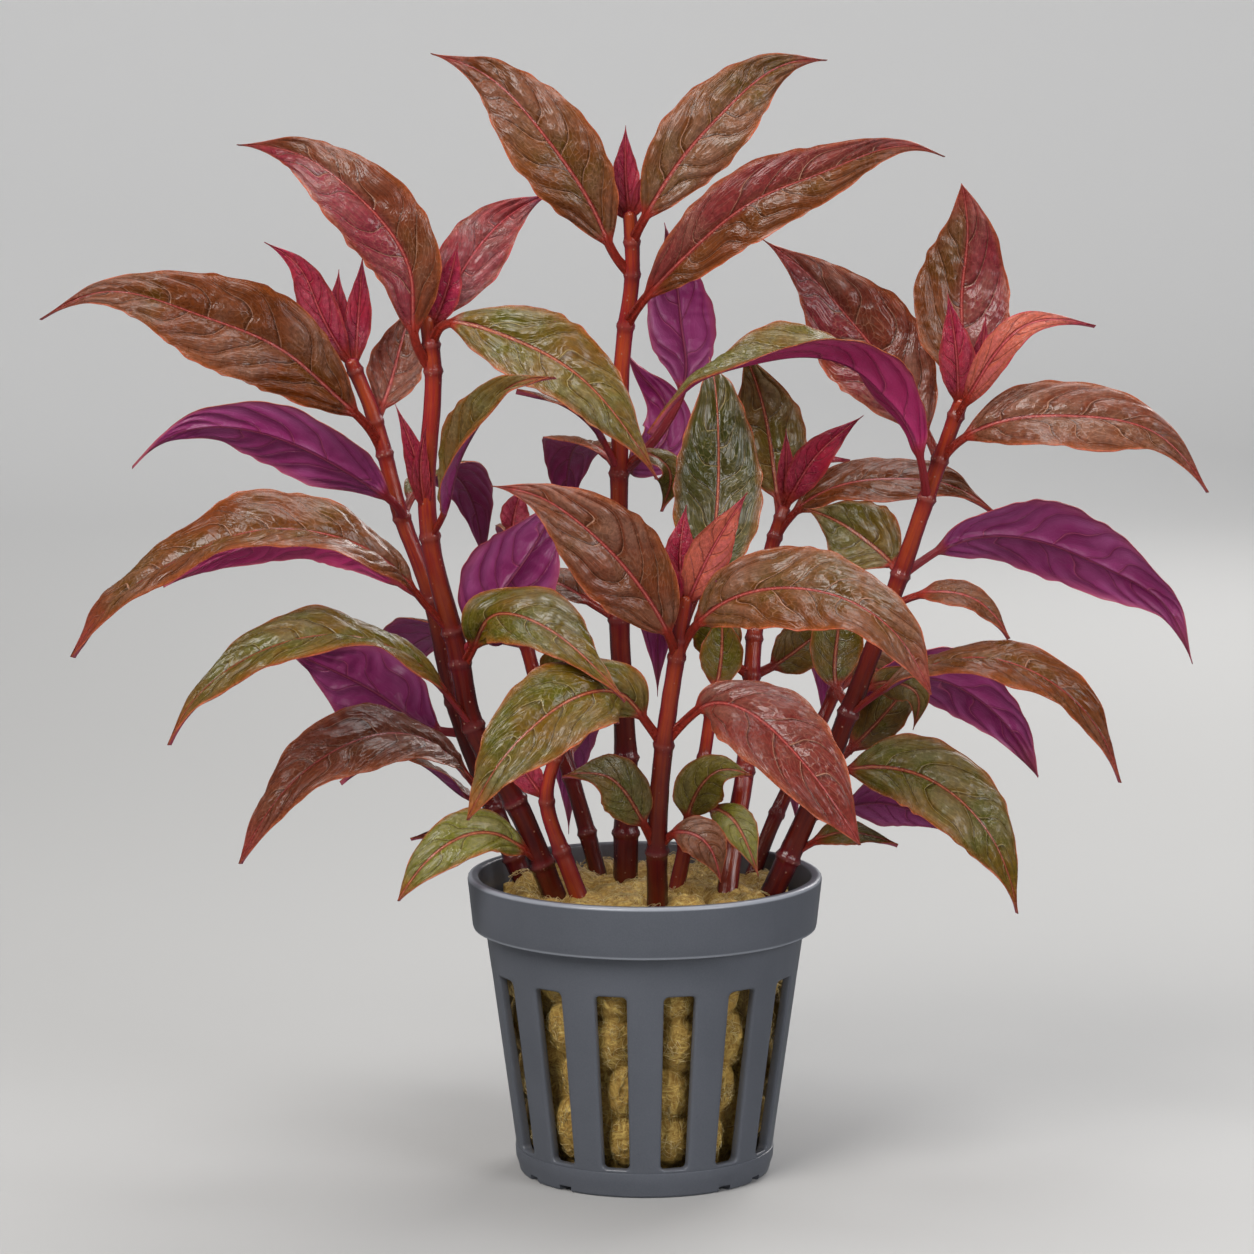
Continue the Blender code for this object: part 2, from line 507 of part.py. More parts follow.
def stem_shares(name, curve):
    """Where the rings of a stem sit: three at each joint and some between."""
    length = np.linalg.norm(np.diff(curve, axis=0), axis=1).sum()
    shares = [0.0, 1.0]
    for joint in STEMS[name]["joints"]:
        middle = share_at_height(curve, joint)
        shares += [middle - JOINT_REACH / length, middle, middle + JOINT_REACH / length]
    shares = sorted(share for share in shares if 0 <= share <= 1)
    kept = [shares[0]]
    for share in shares[1:]:
        span = (share - kept[-1]) * length
        if span < 0.5:
            continue
        pieces = math.ceil(span / STEM_SPAN)
        kept += [kept[-1] + (share - kept[-1]) * (i + 1) / pieces for i in range(pieces)]
    kept[-1] = 1.0
    return kept


def swell(name, curve, share):
    """How much wider a stem is at this place than between its joints."""
    length = np.linalg.norm(np.diff(curve, axis=0), axis=1).sum()
    most = 1.0
    for joint in STEMS[name]["joints"]:
        away = abs(share - share_at_height(curve, joint)) * length / JOINT_REACH
        most = max(most, 1 + (JOINT_SWELL - 1) * max(0.0, 1 - away))
    return most


def tube(name, points, directions, radii, finish):
    """A round bar through the points, with as many sides as a stem."""
    side = unit(np.cross(directions[0], (0.0, 1.0, 0.0)))
    corners = []
    for point, direction, radius in zip(points, directions, radii):
        side = unit(side - direction * side.dot(direction))
        other = np.cross(direction, side)
        for corner in range(STEM_SIDES):
            angle = math.tau * corner / STEM_SIDES
            corners.append(point + radius * (math.cos(angle) * side + math.sin(angle) * other))
    return new_object(name, corners, ring_faces(len(points), STEM_SIDES), finish)


def stem_solid(name, finish, extra=0.0):
    """A stem with swollen joints. Extra widens and lengthens it, to cut its socket in the wool."""
    curve = stem_curve(name)
    shares = stem_shares(name, curve)
    places = [along(curve, share) for share in shares]
    points = [place[0] for place in places]
    directions = [place[1] for place in places]
    radii = [stem_radius(name, share) * swell(name, curve, share) + extra for share in shares]
    points[-1] = points[-1] + directions[-1] * extra
    return tube(name, points, directions, radii, finish)


def blade_shape(share, tip_taper):
    """Half width of a blade, from 0 to 1, at a share of its length: a lance shape."""
    bend = math.log(0.5) / math.log(WIDEST_AT)
    taper = BASE_TAPER if share < WIDEST_AT else tip_taper
    return math.sin(math.pi * share ** bend) ** taper


def leaf_curve(shape, inside=False):
    """The midrib from the stem to the tip. It starts clear of the stem, or inside it to be joined."""
    curve = stem_curve(shape["stem"])
    share = share_at_height(curve, shape["joint"])
    root, down = along(curve, share)
    points = [seen(place) for place in shape["route"]]
    outward = points[0] - root
    outward = unit(outward - down * outward.dot(down))
    thick = stem_radius(shape["stem"], share) * swell(shape["stem"], curve, share)
    start = root if inside else root + outward * (thick + GAP + STALK_THICKNESS)
    return spline([start] + points)


def leaf_side(shape, share, direction):
    """Directions across a leaf and out of its upper side, at a share of its length."""
    faces = np.array(shape["faces"], dtype=float)
    place = share * (len(faces) - 1)
    facing = np.array([np.interp(place, range(len(faces)), faces[:, axis]) for axis in range(3)])
    out = unit(facing - direction * facing.dot(direction))
    return np.cross(direction, out), out


def leaf_section(shape, curve, share, half, thickness, across_places):
    """The points round one section: the upper side from edge to edge, and the back of the midrib."""
    point, direction = along(curve, share)
    across, out = leaf_side(shape, share, direction)
    section = []
    for place in across_places:
        wide = place * half * math.cos(shape["fold"])
        lift = abs(place) * half * math.sin(shape["fold"]) - place * place * half * shape["droop"]
        section.append(point + across * wide + out * lift)
    middle = len(across_places) // 2
    section[middle] = section[middle] + out * thickness * ABOVE_MIDRIB
    section.append(point - out * thickness * (1 - ABOVE_MIDRIB))
    return section


def leaf_solid(shape, finish, small=False):
    """A closed leaf: a flattened stalk, a folded and drooping blade, and a pointed tip.

    The first faces of a small leaf stay whole, because the stem that it grows from cuts through them.
    """
    curve = leaf_curve(shape, inside=small)
    stations = SMALL_STATIONS if small else LEAF_STATIONS
    across_places = SMALL_ACROSS if small else ACROSS
    stalk = SMALL_STALK_SHARE if small else shape["stalk"]
    stalk_half = min(STALK_HALF_WIDTH, shape["width"] * STALK_MOST_OF_WIDTH)
    points = leaf_section(shape, curve, 0.0, stalk_half, STALK_THICKNESS, across_places)
    points += leaf_section(shape, curve, stalk, stalk_half, STALK_THICKNESS, across_places)
    for station in stations:
        half = max(shape["width"] / 2 * blade_shape(station, shape["taper"]), stalk_half)
        thickness = BLADE_THICKNESS + (TIP_THICKNESS - BLADE_THICKNESS) * station
        share = stalk + (1 - stalk) * station
        points += leaf_section(shape, curve, share, half, thickness, across_places)
    sides = len(across_places) + 1
    rings = len(points) // sides
    faces = ring_faces(rings, sides)[:-1]
    whole = sides if small else 0
    faces = faces[:whole] + bulging_triangles(points, faces[whole:])
    points.append(along(curve, 1.0)[0])
    tip = len(points) - 1
    last = (rings - 1) * sides
    for side in range(sides):
        faces.append((last + side, last + (side + 1) % sides, tip))
    return new_object(shape["name"], points, faces, finish)


def pot_inner_radius(height):
    """Inside radius of the pot at a height."""
    levels = [FLOOR, INNER_STEP_FOOT, INNER_STEP_TOP, POT_HEIGHT]
    radii = [BASE_RADIUS - WALL, BODY_TOP_RADIUS - WALL, BAND_FOOT_RADIUS - LIP_WIDTH, RIM_RADIUS - LIP_WIDTH]
    return float(np.interp(height, levels, radii))


def pot_body_radius(height):
    """Outside radius of the slotted wall at a height."""
    levels = [FOOT_HEIGHT, POT_HEIGHT - BAND_HEIGHT]
    return float(np.interp(height, levels, [BODY_FOOT_RADIUS, BODY_TOP_RADIUS]))


def pot_outline():
    """Radius and height round the wall's section, down the outside and up the inside."""
    band_foot = POT_HEIGHT - BAND_HEIGHT
    outside = [
        (RIM_RADIUS - LIP_BEVEL, POT_HEIGHT),
        (RIM_RADIUS, POT_HEIGHT - LIP_BEVEL),
        (BAND_FOOT_RADIUS, band_foot),
        (BODY_TOP_RADIUS, band_foot),
        (pot_body_radius(SLOT_TOP), SLOT_TOP),
        (pot_body_radius(SLOT_FOOT), SLOT_FOOT),
        (BODY_FOOT_RADIUS + FOOT_STEP, FOOT_HEIGHT),
        (BASE_RADIUS, BASE_BEVEL),
        (BASE_RADIUS - BASE_BEVEL, 0.0),
    ]
    inside = [
        (pot_inner_radius(FLOOR), FLOOR),
        (pot_inner_radius(SLOT_FOOT), SLOT_FOOT),
        (pot_inner_radius(SLOT_TOP), SLOT_TOP),
        (pot_inner_radius(INNER_STEP_FOOT), INNER_STEP_FOOT),
        (pot_inner_radius(INNER_STEP_TOP), INNER_STEP_TOP),
        (pot_inner_radius(POT_HEIGHT), POT_HEIGHT - INNER_BEVEL),
        (pot_inner_radius(POT_HEIGHT) + INNER_BEVEL, POT_HEIGHT),
    ]
    return outside, inside


def net_pot():
    """The slotted pot. A slot's sides lie in planes through the axis, half a pitch off the front."""
    outside, inside = pot_outline()
    outline = outside + inside
    pitch = math.tau / SLOT_COUNT
    angles = []
    for slot in range(SLOT_COUNT):
        middle = -math.pi / 2 + (slot + 0.5) * pitch
        angles += [middle - SLOT_HALF_ANGLE, middle + SLOT_HALF_ANGLE, middle + pitch / 2]
    points = [(radius * math.cos(angle), radius * math.sin(angle), height)
              for angle in angles for radius, height in outline]
    rows = len(outline)
    columns = len(angles)
    outer_top = 4
    outer_foot = 5
    inner_foot = len(outside) + 1
    inner_top = len(outside) + 2
    last_outside = len(outside) - 1
    faces = []
    for column in range(columns):
        here = column * rows
        there = (column + 1) % columns * rows
        in_slot = column % 3 == 0
        for row in range(rows):
            if row == last_outside or in_slot and row in (outer_top, inner_foot):
                continue
            after = (row + 1) % rows
            faces.append((here + row, there + row, there + after, here + after))
        if in_slot:
            faces.append((here + outer_top, there + outer_top, there + inner_top, here + inner_top))
            faces.append((here + outer_foot, there + outer_foot, there + inner_foot, here + inner_foot))
            for edge in (here, there):
                faces.append((edge + outer_top, edge + outer_foot, edge + inner_foot, edge + inner_top))
    faces.append(tuple(column * rows + last_outside for column in range(columns)))
    faces.append(tuple(column * rows + len(outside) for column in reversed(range(columns))))
    return new_object("net_pot", points, faces, material("pot_grey", (0.16, 0.18, 0.21), 0.42))


def wool_lump(angle, height):
    """How far a lump of wool stands out, from 0 in the creases to 1 on its crown."""
    around = 0.5 - 0.5 * math.cos(SLOT_COUNT * angle)
    rise = height / (WOOL_TOP - FLOOR) * WOOL_LUMP_ROWS
    up = 0.5 - 0.5 * math.cos(math.tau * rise)
    return around * (0.35 + 0.65 * up)


def wool_mound(x, y):
    """Height of the lumps on top of the wool."""
    return WOOL_MOUND * (math.sin(0.62 * x + 0.8) * math.cos(0.55 * y - 0.4) + 0.35 * math.sin(0.3 * (x + y)))


def mineral_wool(sockets):
    """The lumpy plug of wool, with a socket for the foot of each stem."""
    columns = SLOT_COUNT * 2
    angles = [-math.pi / 2 + math.tau * column / columns for column in range(columns)]
    low = FLOOR + WOOL_CLEARANCE
    rows = WOOL_LUMP_ROWS * 2
    points = []
    for row in range(rows + 1):
        height = low + (WOOL_TOP - WOOL_SHOULDER - low) * row / rows
        for angle in angles:
            radius = pot_inner_radius(height) - WOOL_CLEARANCE
            radius -= WOOL_LUMP_DEPTH * (1 - wool_lump(angle + math.pi / 2, height - low))
            points.append((radius * math.cos(angle), radius * math.sin(angle), height))
    for share in WOOL_TOP_RINGS:
        radius = pot_inner_radius(WOOL_TOP) * share
        for angle in angles:
            x = radius * math.cos(angle)
            y = radius * math.sin(angle)
            points.append((x, y, WOOL_TOP + wool_mound(x, y)))
    faces = ring_faces(len(points) // columns, columns)
    wool = new_object("mineral_wool", points, faces, material("wool_tan", (0.46, 0.33, 0.10), 0.9))
    combine(wool, sockets, 'DIFFERENCE')
    return wool


def plant():
    """Stems with the small leaves that grow on them, and the leaves with stalks of their own."""
    tones = {tone: material("leaf_" + tone, colour, 0.35) for tone, colour in TONES.items()}
    stem_finish = material("stem_red", (0.30, 0.035, 0.02), 0.35)
    for name in STEMS:
        stem = stem_solid(name, stem_finish)
        small_shapes = [shape for shape in SMALL_LEAVES if shape["stem"] == name]
        grown = [leaf_solid(shape, stem_finish, small=True) for shape in small_shapes]
        combine(stem, grown, 'UNION')
    for shape in LEAVES:
        leaf_solid(shape, tones[shape["tone"]])


def main():
    for item in list(bpy.data.objects):
        bpy.data.objects.remove(item)
    net_pot()
    socket_finish = material("socket", (0.4, 0.3, 0.1), 0.9)
    mineral_wool([stem_solid(name, socket_finish, GAP) for name in STEMS])
    plant()


main()
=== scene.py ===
"""The looks of an Alternanthera reineckii in its net pot.

Sizes are in millimetres until a mesh is made, and the frame's own metres after that. Places on the
plant are written as (x, z, depth), as in the part's source: x and z are read where the point is seen
from the front, in the upright plane through the pot's axis, and depth is how far it lies behind it.
"""

import math

import bmesh
import bpy
import numpy as np
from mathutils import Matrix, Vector


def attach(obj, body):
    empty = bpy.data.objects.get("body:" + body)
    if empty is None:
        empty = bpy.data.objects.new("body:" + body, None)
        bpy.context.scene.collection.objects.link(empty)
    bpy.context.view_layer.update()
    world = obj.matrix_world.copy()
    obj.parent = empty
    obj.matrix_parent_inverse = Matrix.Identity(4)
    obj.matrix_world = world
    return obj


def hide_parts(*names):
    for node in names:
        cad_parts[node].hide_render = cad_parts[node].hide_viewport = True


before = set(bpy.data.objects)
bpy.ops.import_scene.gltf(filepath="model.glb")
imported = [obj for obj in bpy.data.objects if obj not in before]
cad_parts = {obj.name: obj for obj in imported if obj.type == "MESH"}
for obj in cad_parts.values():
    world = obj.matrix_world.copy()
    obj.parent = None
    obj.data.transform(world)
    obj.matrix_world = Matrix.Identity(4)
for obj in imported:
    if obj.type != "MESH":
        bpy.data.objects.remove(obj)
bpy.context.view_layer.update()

MM = 0.001

# Place that the plant was measured from, where the camera stands
EYE_X = -2.8
EYE_Z = 183.9
EYE_DISTANCE = 700.0
EYE_TILT = math.radians(7.9)
SENSOR_MM = 36.0
LENS_MM = 129.33

# Net pot, as in the solids
POT_HEIGHT = 47.5
RIM_RADIUS = 28.0
LIP_WIDTH = 1.7
BAND_HEIGHT = 8.3
BAND_FOOT_RADIUS = 27.2
BAND_EDGE = 0.35
BAND_STRAIGHT = BAND_HEIGHT - 0.95
BODY_TOP_RADIUS = 25.2
BODY_FOOT_RADIUS = 20.4
FOOT_HEIGHT = 3.9
FOOT_STEP = 0.15
BASE_RADIUS = 19.9
WALL = 1.4
FLOOR = 1.5
INNER_STEP_TOP = 41.0
INNER_STEP_FOOT = 38.0
SLOT_COUNT = 14
SLOT_PITCH = math.tau / SLOT_COUNT
SLOT_TURNS = [-math.pi / 2 + (slot + 0.5) * SLOT_PITCH for slot in range(SLOT_COUNT)]
SLOT_HALF_ANGLE = math.radians(6.0)
SLOT_TOP = 32.7
SLOT_FOOT = 4.6
SLOT_CORNER = 0.8
SLOT_OUTER_SPREAD = 0.30
SLOT_INNER_SPREAD = 0.12
SLOT_MARGIN_BELOW = 0.45
SLOT_MARGIN_ABOVE = 1.2
LIP_BEND = 0.55
INNER_LIP_BEND = 0.4
BASE_BEND = 0.5
BASE_BEND_INSET = 0.45
WELD_DISTANCE = 0.004
POT_SHARP_ANGLE = math.radians(42)
NOTCH_ANGLES = (38.6, 61.0)
NOTCH_WIDTH = 2.3
NOTCH_HEIGHT = 0.9
NOTCH_REACH = (17.6, 21.5)

# Rolled edge of a slot: how far it is widened, at shares of the wall's depth
SLOT_ROLL = ((0.14, 0.06), (0.04, 0.17), (0.0, 0.32), (0.0, 0.85))

# Mineral wool
WOOL_TOP = 45.0
WOOL_CLEARANCE = 0.45
WOOL_EDGE_DROP = 1.4
WOOL_ROUGHNESS = 0.16
WOOL_SWIRL = 6.0
WOOL_COLUMNS = 378
WOOL_SIDE_ROWS = 84
WOOL_TOP_RINGS = 46
SIDE_LUMPS_FOOT = 4.0
SIDE_LUMPS_TOP = 43
SIDE_LUMP_SHIFT = 0.4
SIDE_LUMP_HALF_HEIGHT = (4.2, 5.3)
SIDE_LUMP_HALF_WIDTH = (3.3, 4.6)
SIDE_LUMP_STEP = 1.72
SIDE_LUMP_DEPTH = 2.6
SIDE_LUMP_BULGE = 0.25
TOP_LUMP_RINGS = ((20.5, 13), (13.5, 9), (6.5, 5), (0.0, 1))
TOP_LUMP_HALF_WIDTH = (4.0, 5.6)
TOP_LUMP_FOOT = 2.8
TOP_LUMP_RISE = 4.2
SLOT_FIBRES = 120
TOP_FIBRES = 900
TOP_FIBRES_REACH = 22.4
FIBRE_POINTS = 6
FIBRE_RADIUS = (0.028, 0.055)
FIBRE_LIFT = 0.5
SIDE_FIBRE_STEP = (0.25, 0.62)
SIDE_FIBRE_SPREAD = 0.62
SIDE_FIBRE_HEIGHTS = (3.0, 42.0)
SIDE_FIBRE_RADIUS = 21
TOP_FIBRE_STEP = (0.3, 0.75)
FIBRE_CURL = 0.9
FIBRE_TURN = 0.6

# Stems
STEM_BURIED = 4.0
STEM_SIDES = 18
STEM_RING_STEP = 0.45
STEM_TOP_BEND = 0.8
STEM_TWIST = 0.012
STEM_UNEVENNESS = 0.02
RIB_RISE = 0.030
FINE_RIB_RISE = 0.014
JOINT_SWELL = 0.10
JOINT_SWELL_REACH = 1.5
JOINT_RING = 0.15
JOINT_RING_REACH = 0.36
JOINT_WAIST = 0.035
JOINT_WAIST_PLACE = 0.9
JOINT_WAIST_REACH = 0.35

# Heights under which the red of a stem starts to darken, where they differ from the usual one
AGES_BELOW = {"stem_front": 122, "stem_inner_right": 108, "stem_short_left": 95, "stem_short_front": 100,
              "stem_back_left": 125, "stem_back_right": 110}
USUALLY_AGES_BELOW = 150
AGEING_HEIGHT = 80

# Leaves
STALK_SHARE = 0.13
SMALL_STALK_SHARE = 0.25
BUD_STALK_SHARE = 0.08
BUD_FOLD = math.radians(24)
STALK_HALF_WIDTH = 0.75
STALK_MOST_OF_WIDTH = 0.12
STALK_THICKNESS = 1.1
STALK_FLARE = 0.35
STALK_FLARE_REACH = 0.35
STALK_ABOVE = 0.32
STALK_CHANNEL = 0.16
STALK_BELOW = 0.62
FULL_RELIEF_WIDTH = 14
WIDEST_AT = 0.41
BASE_TAPER = 1.0
TIP_TAPER = 1.5
BLUNT = 1.0
FOLD = 13.0
DROOP = 0.16
VEIN_SPACING = 6.0
FEWEST_VEINS = 5.0
SMALL_LEAF_VEINS = 6.0
VEIN_SWEEP = 0.85
VEIN_ARCH = 1.25
VEIN_DRIFT = 0.30
MARGIN_SCALLOP = 0.026
MARGIN_UNEVENNESS = 0.012
MARGIN_FINE_WAVE = 0.42
MARGIN_FINE_WAVES = (0.42, 0.36)
MARGIN_SLOW_WAVE = 0.75
MARGIN_SLOW_WAVES = (1.7, 1.4)
MARGIN_THICKNESS = 0.14
MIDDLE_THICKENING = 0.16
PANEL_RISE = 0.45
PANEL_UNEVENNESS = 0.08
PUCKER_RISE = 0.05
MIDRIB_DEPTH = 0.55
MIDRIB_CREST = 0.20
MIDRIB_GROOVE = 0.28
VEIN_RIDGE = 0.13

# Leaf finishes: how close the wrinkles run, how far they wander, and half widths in cm of the midrib's
# line at its foot and at its tip
WRINKLE_CLOSENESS = 74.0
WRINKLE_WANDER = 30.0
MIDRIB_LINE = (0.040, 0.014)

# Rows and columns of the leaf meshes
LEAF_ROWS = 112
FINE_COLUMNS = 39
COARSE_COLUMNS = 17
SMALL_ROWS = 34
SMALL_COLUMNS = 15

# Starts of the random draws
LEAF_SEED = 100
SMALL_LEAF_SEED = 500
WOOL_SEED = 17
FIBRE_SEED = 23

# Ways that the upper side of a leaf faces
FRONT = (0.0, -1.0, 0.2)
FRONT_UP = (0.0, -0.8, 0.6)
UP_FRONT = (0.0, -0.55, 0.85)
UP = (0.0, -0.15, 1.0)
BACK_UP = (0.0, 0.85, 0.5)
UP_BACK = (0.0, 0.5, 0.85)
BACK = (0.0, 1.0, 0.15)

# Stem name: places from the top down, radius at the top and at the foot, heights of its joints
STEMS = {
    "stem_tall": dict(
        route=[(-2.5, 152, 0), (-2, 142, 1), (-3, 134, 2), (-4, 111, 4), (-4, 88, 5), (-3, 66, 4),
               (-3, 46, 3)],
        radii=(1.05, 2.0), joints=(147, 142, 134, 111, 88, 66, 54)),
    "stem_inner_left": dict(
        route=[(-34, 136, -8), (-33, 127, -8), (-34, 112, -8), (-33, 97, -8), (-29, 81, -8), (-27, 71, -8),
               (-21, 60, -7), (-14.5, 44.5, -5)],
        radii=(1.2, 1.95), joints=(131, 127, 101, 86, 81, 71, 59, 49)),
    "stem_outer_left": dict(
        route=[(-46, 129, 14), (-42, 119, 14), (-38, 104, 13), (-34, 93, 12), (-30.5, 77, 11), (-25, 61, 10),
               (-19.5, 47, 9)],
        radii=(1.1, 1.7), joints=(127, 119, 114, 104, 91, 75, 58, 50)),
    "stem_front": dict(
        route=[(6.5, 92, -24), (5, 82, -22), (3, 68, -19), (2, 53, -16), (2, 43, -14)],
        radii=(1.1, 1.75), joints=(85, 82, 68, 51)),
    "stem_outer_right": dict(
        route=[(49.5, 123, -4), (46, 113, -4), (40, 95, -4), (32, 73, -5), (24, 53, -6), (20, 44, -6)],
        radii=(1.1, 1.9), joints=(120, 113, 107, 95, 73, 62, 50)),
    "stem_inner_right": dict(
        route=[(22, 106, 18), (20, 100, 17), (17, 83, 12), (16, 66, 5), (14, 52, -2), (13, 44, -5)],
        radii=(1.0, 1.75), joints=(104, 101, 85, 79, 64, 54)),
    "stem_short_left": dict(
        route=[(-13, 68, -11), (-15.5, 60, -10.5), (-13.5, 52, -10), (-10.5, 44, -10)],
        radii=(0.9, 1.5), joints=(66, 59, 51)),
    "stem_back_left": dict(
        route=[(-21, 103, 22), (-20, 92, 21), (-17, 78, 18), (-12, 64, 16), (-7, 46, 14)],
        radii=(0.9, 1.5), joints=(101, 93, 84, 74, 63, 54)),
    "stem_short_front": dict(
        route=[(10.5, 75, 4), (9.5, 67, 3), (7.5, 57, 1), (5, 45, -1)],
        radii=(0.9, 1.3), joints=(73, 66, 58, 52)),
    "stem_back_right": dict(
        route=[(33, 86, 24), (30, 77, 22), (25, 66, 19), (20, 55, 16), (17, 47, 14)],
        radii=(0.9, 1.3), joints=(84, 76, 66, 57)),
}


def leaf(name, joint, route, width, faces, tone, fold=FOLD, droop=DROOP, green=None, pink=0.0,
         pink_side=0.0, blush=0.0, stalk=STALK_SHARE, taper=TIP_TAPER):
    """A leaf: the height of its joint, its midrib, its width, where its upper side faces, its colour."""
    if isinstance(faces[0], float):
        faces = (faces,)
    if green is None:
        green = {"bronze": 0.3, "olive": 0.75, "young": 0.0}[tone]
    return dict(name=name, joint=joint, route=route, width=width, faces=faces, tone=tone,
                fold=math.radians(fold), droop=droop, green=green, pink=pink, pink_side=pink_side,
                blush=blush, stalk=stalk, taper=taper)


def grown(prefix, plan):
    """Every leaf of a plan that gives them stem by stem, with its full name and its stem's."""
    return [dict(shape, name=prefix + stem + "_" + shape["name"], stem="stem_" + stem)
            for stem, shapes in plan.items() for shape in shapes]


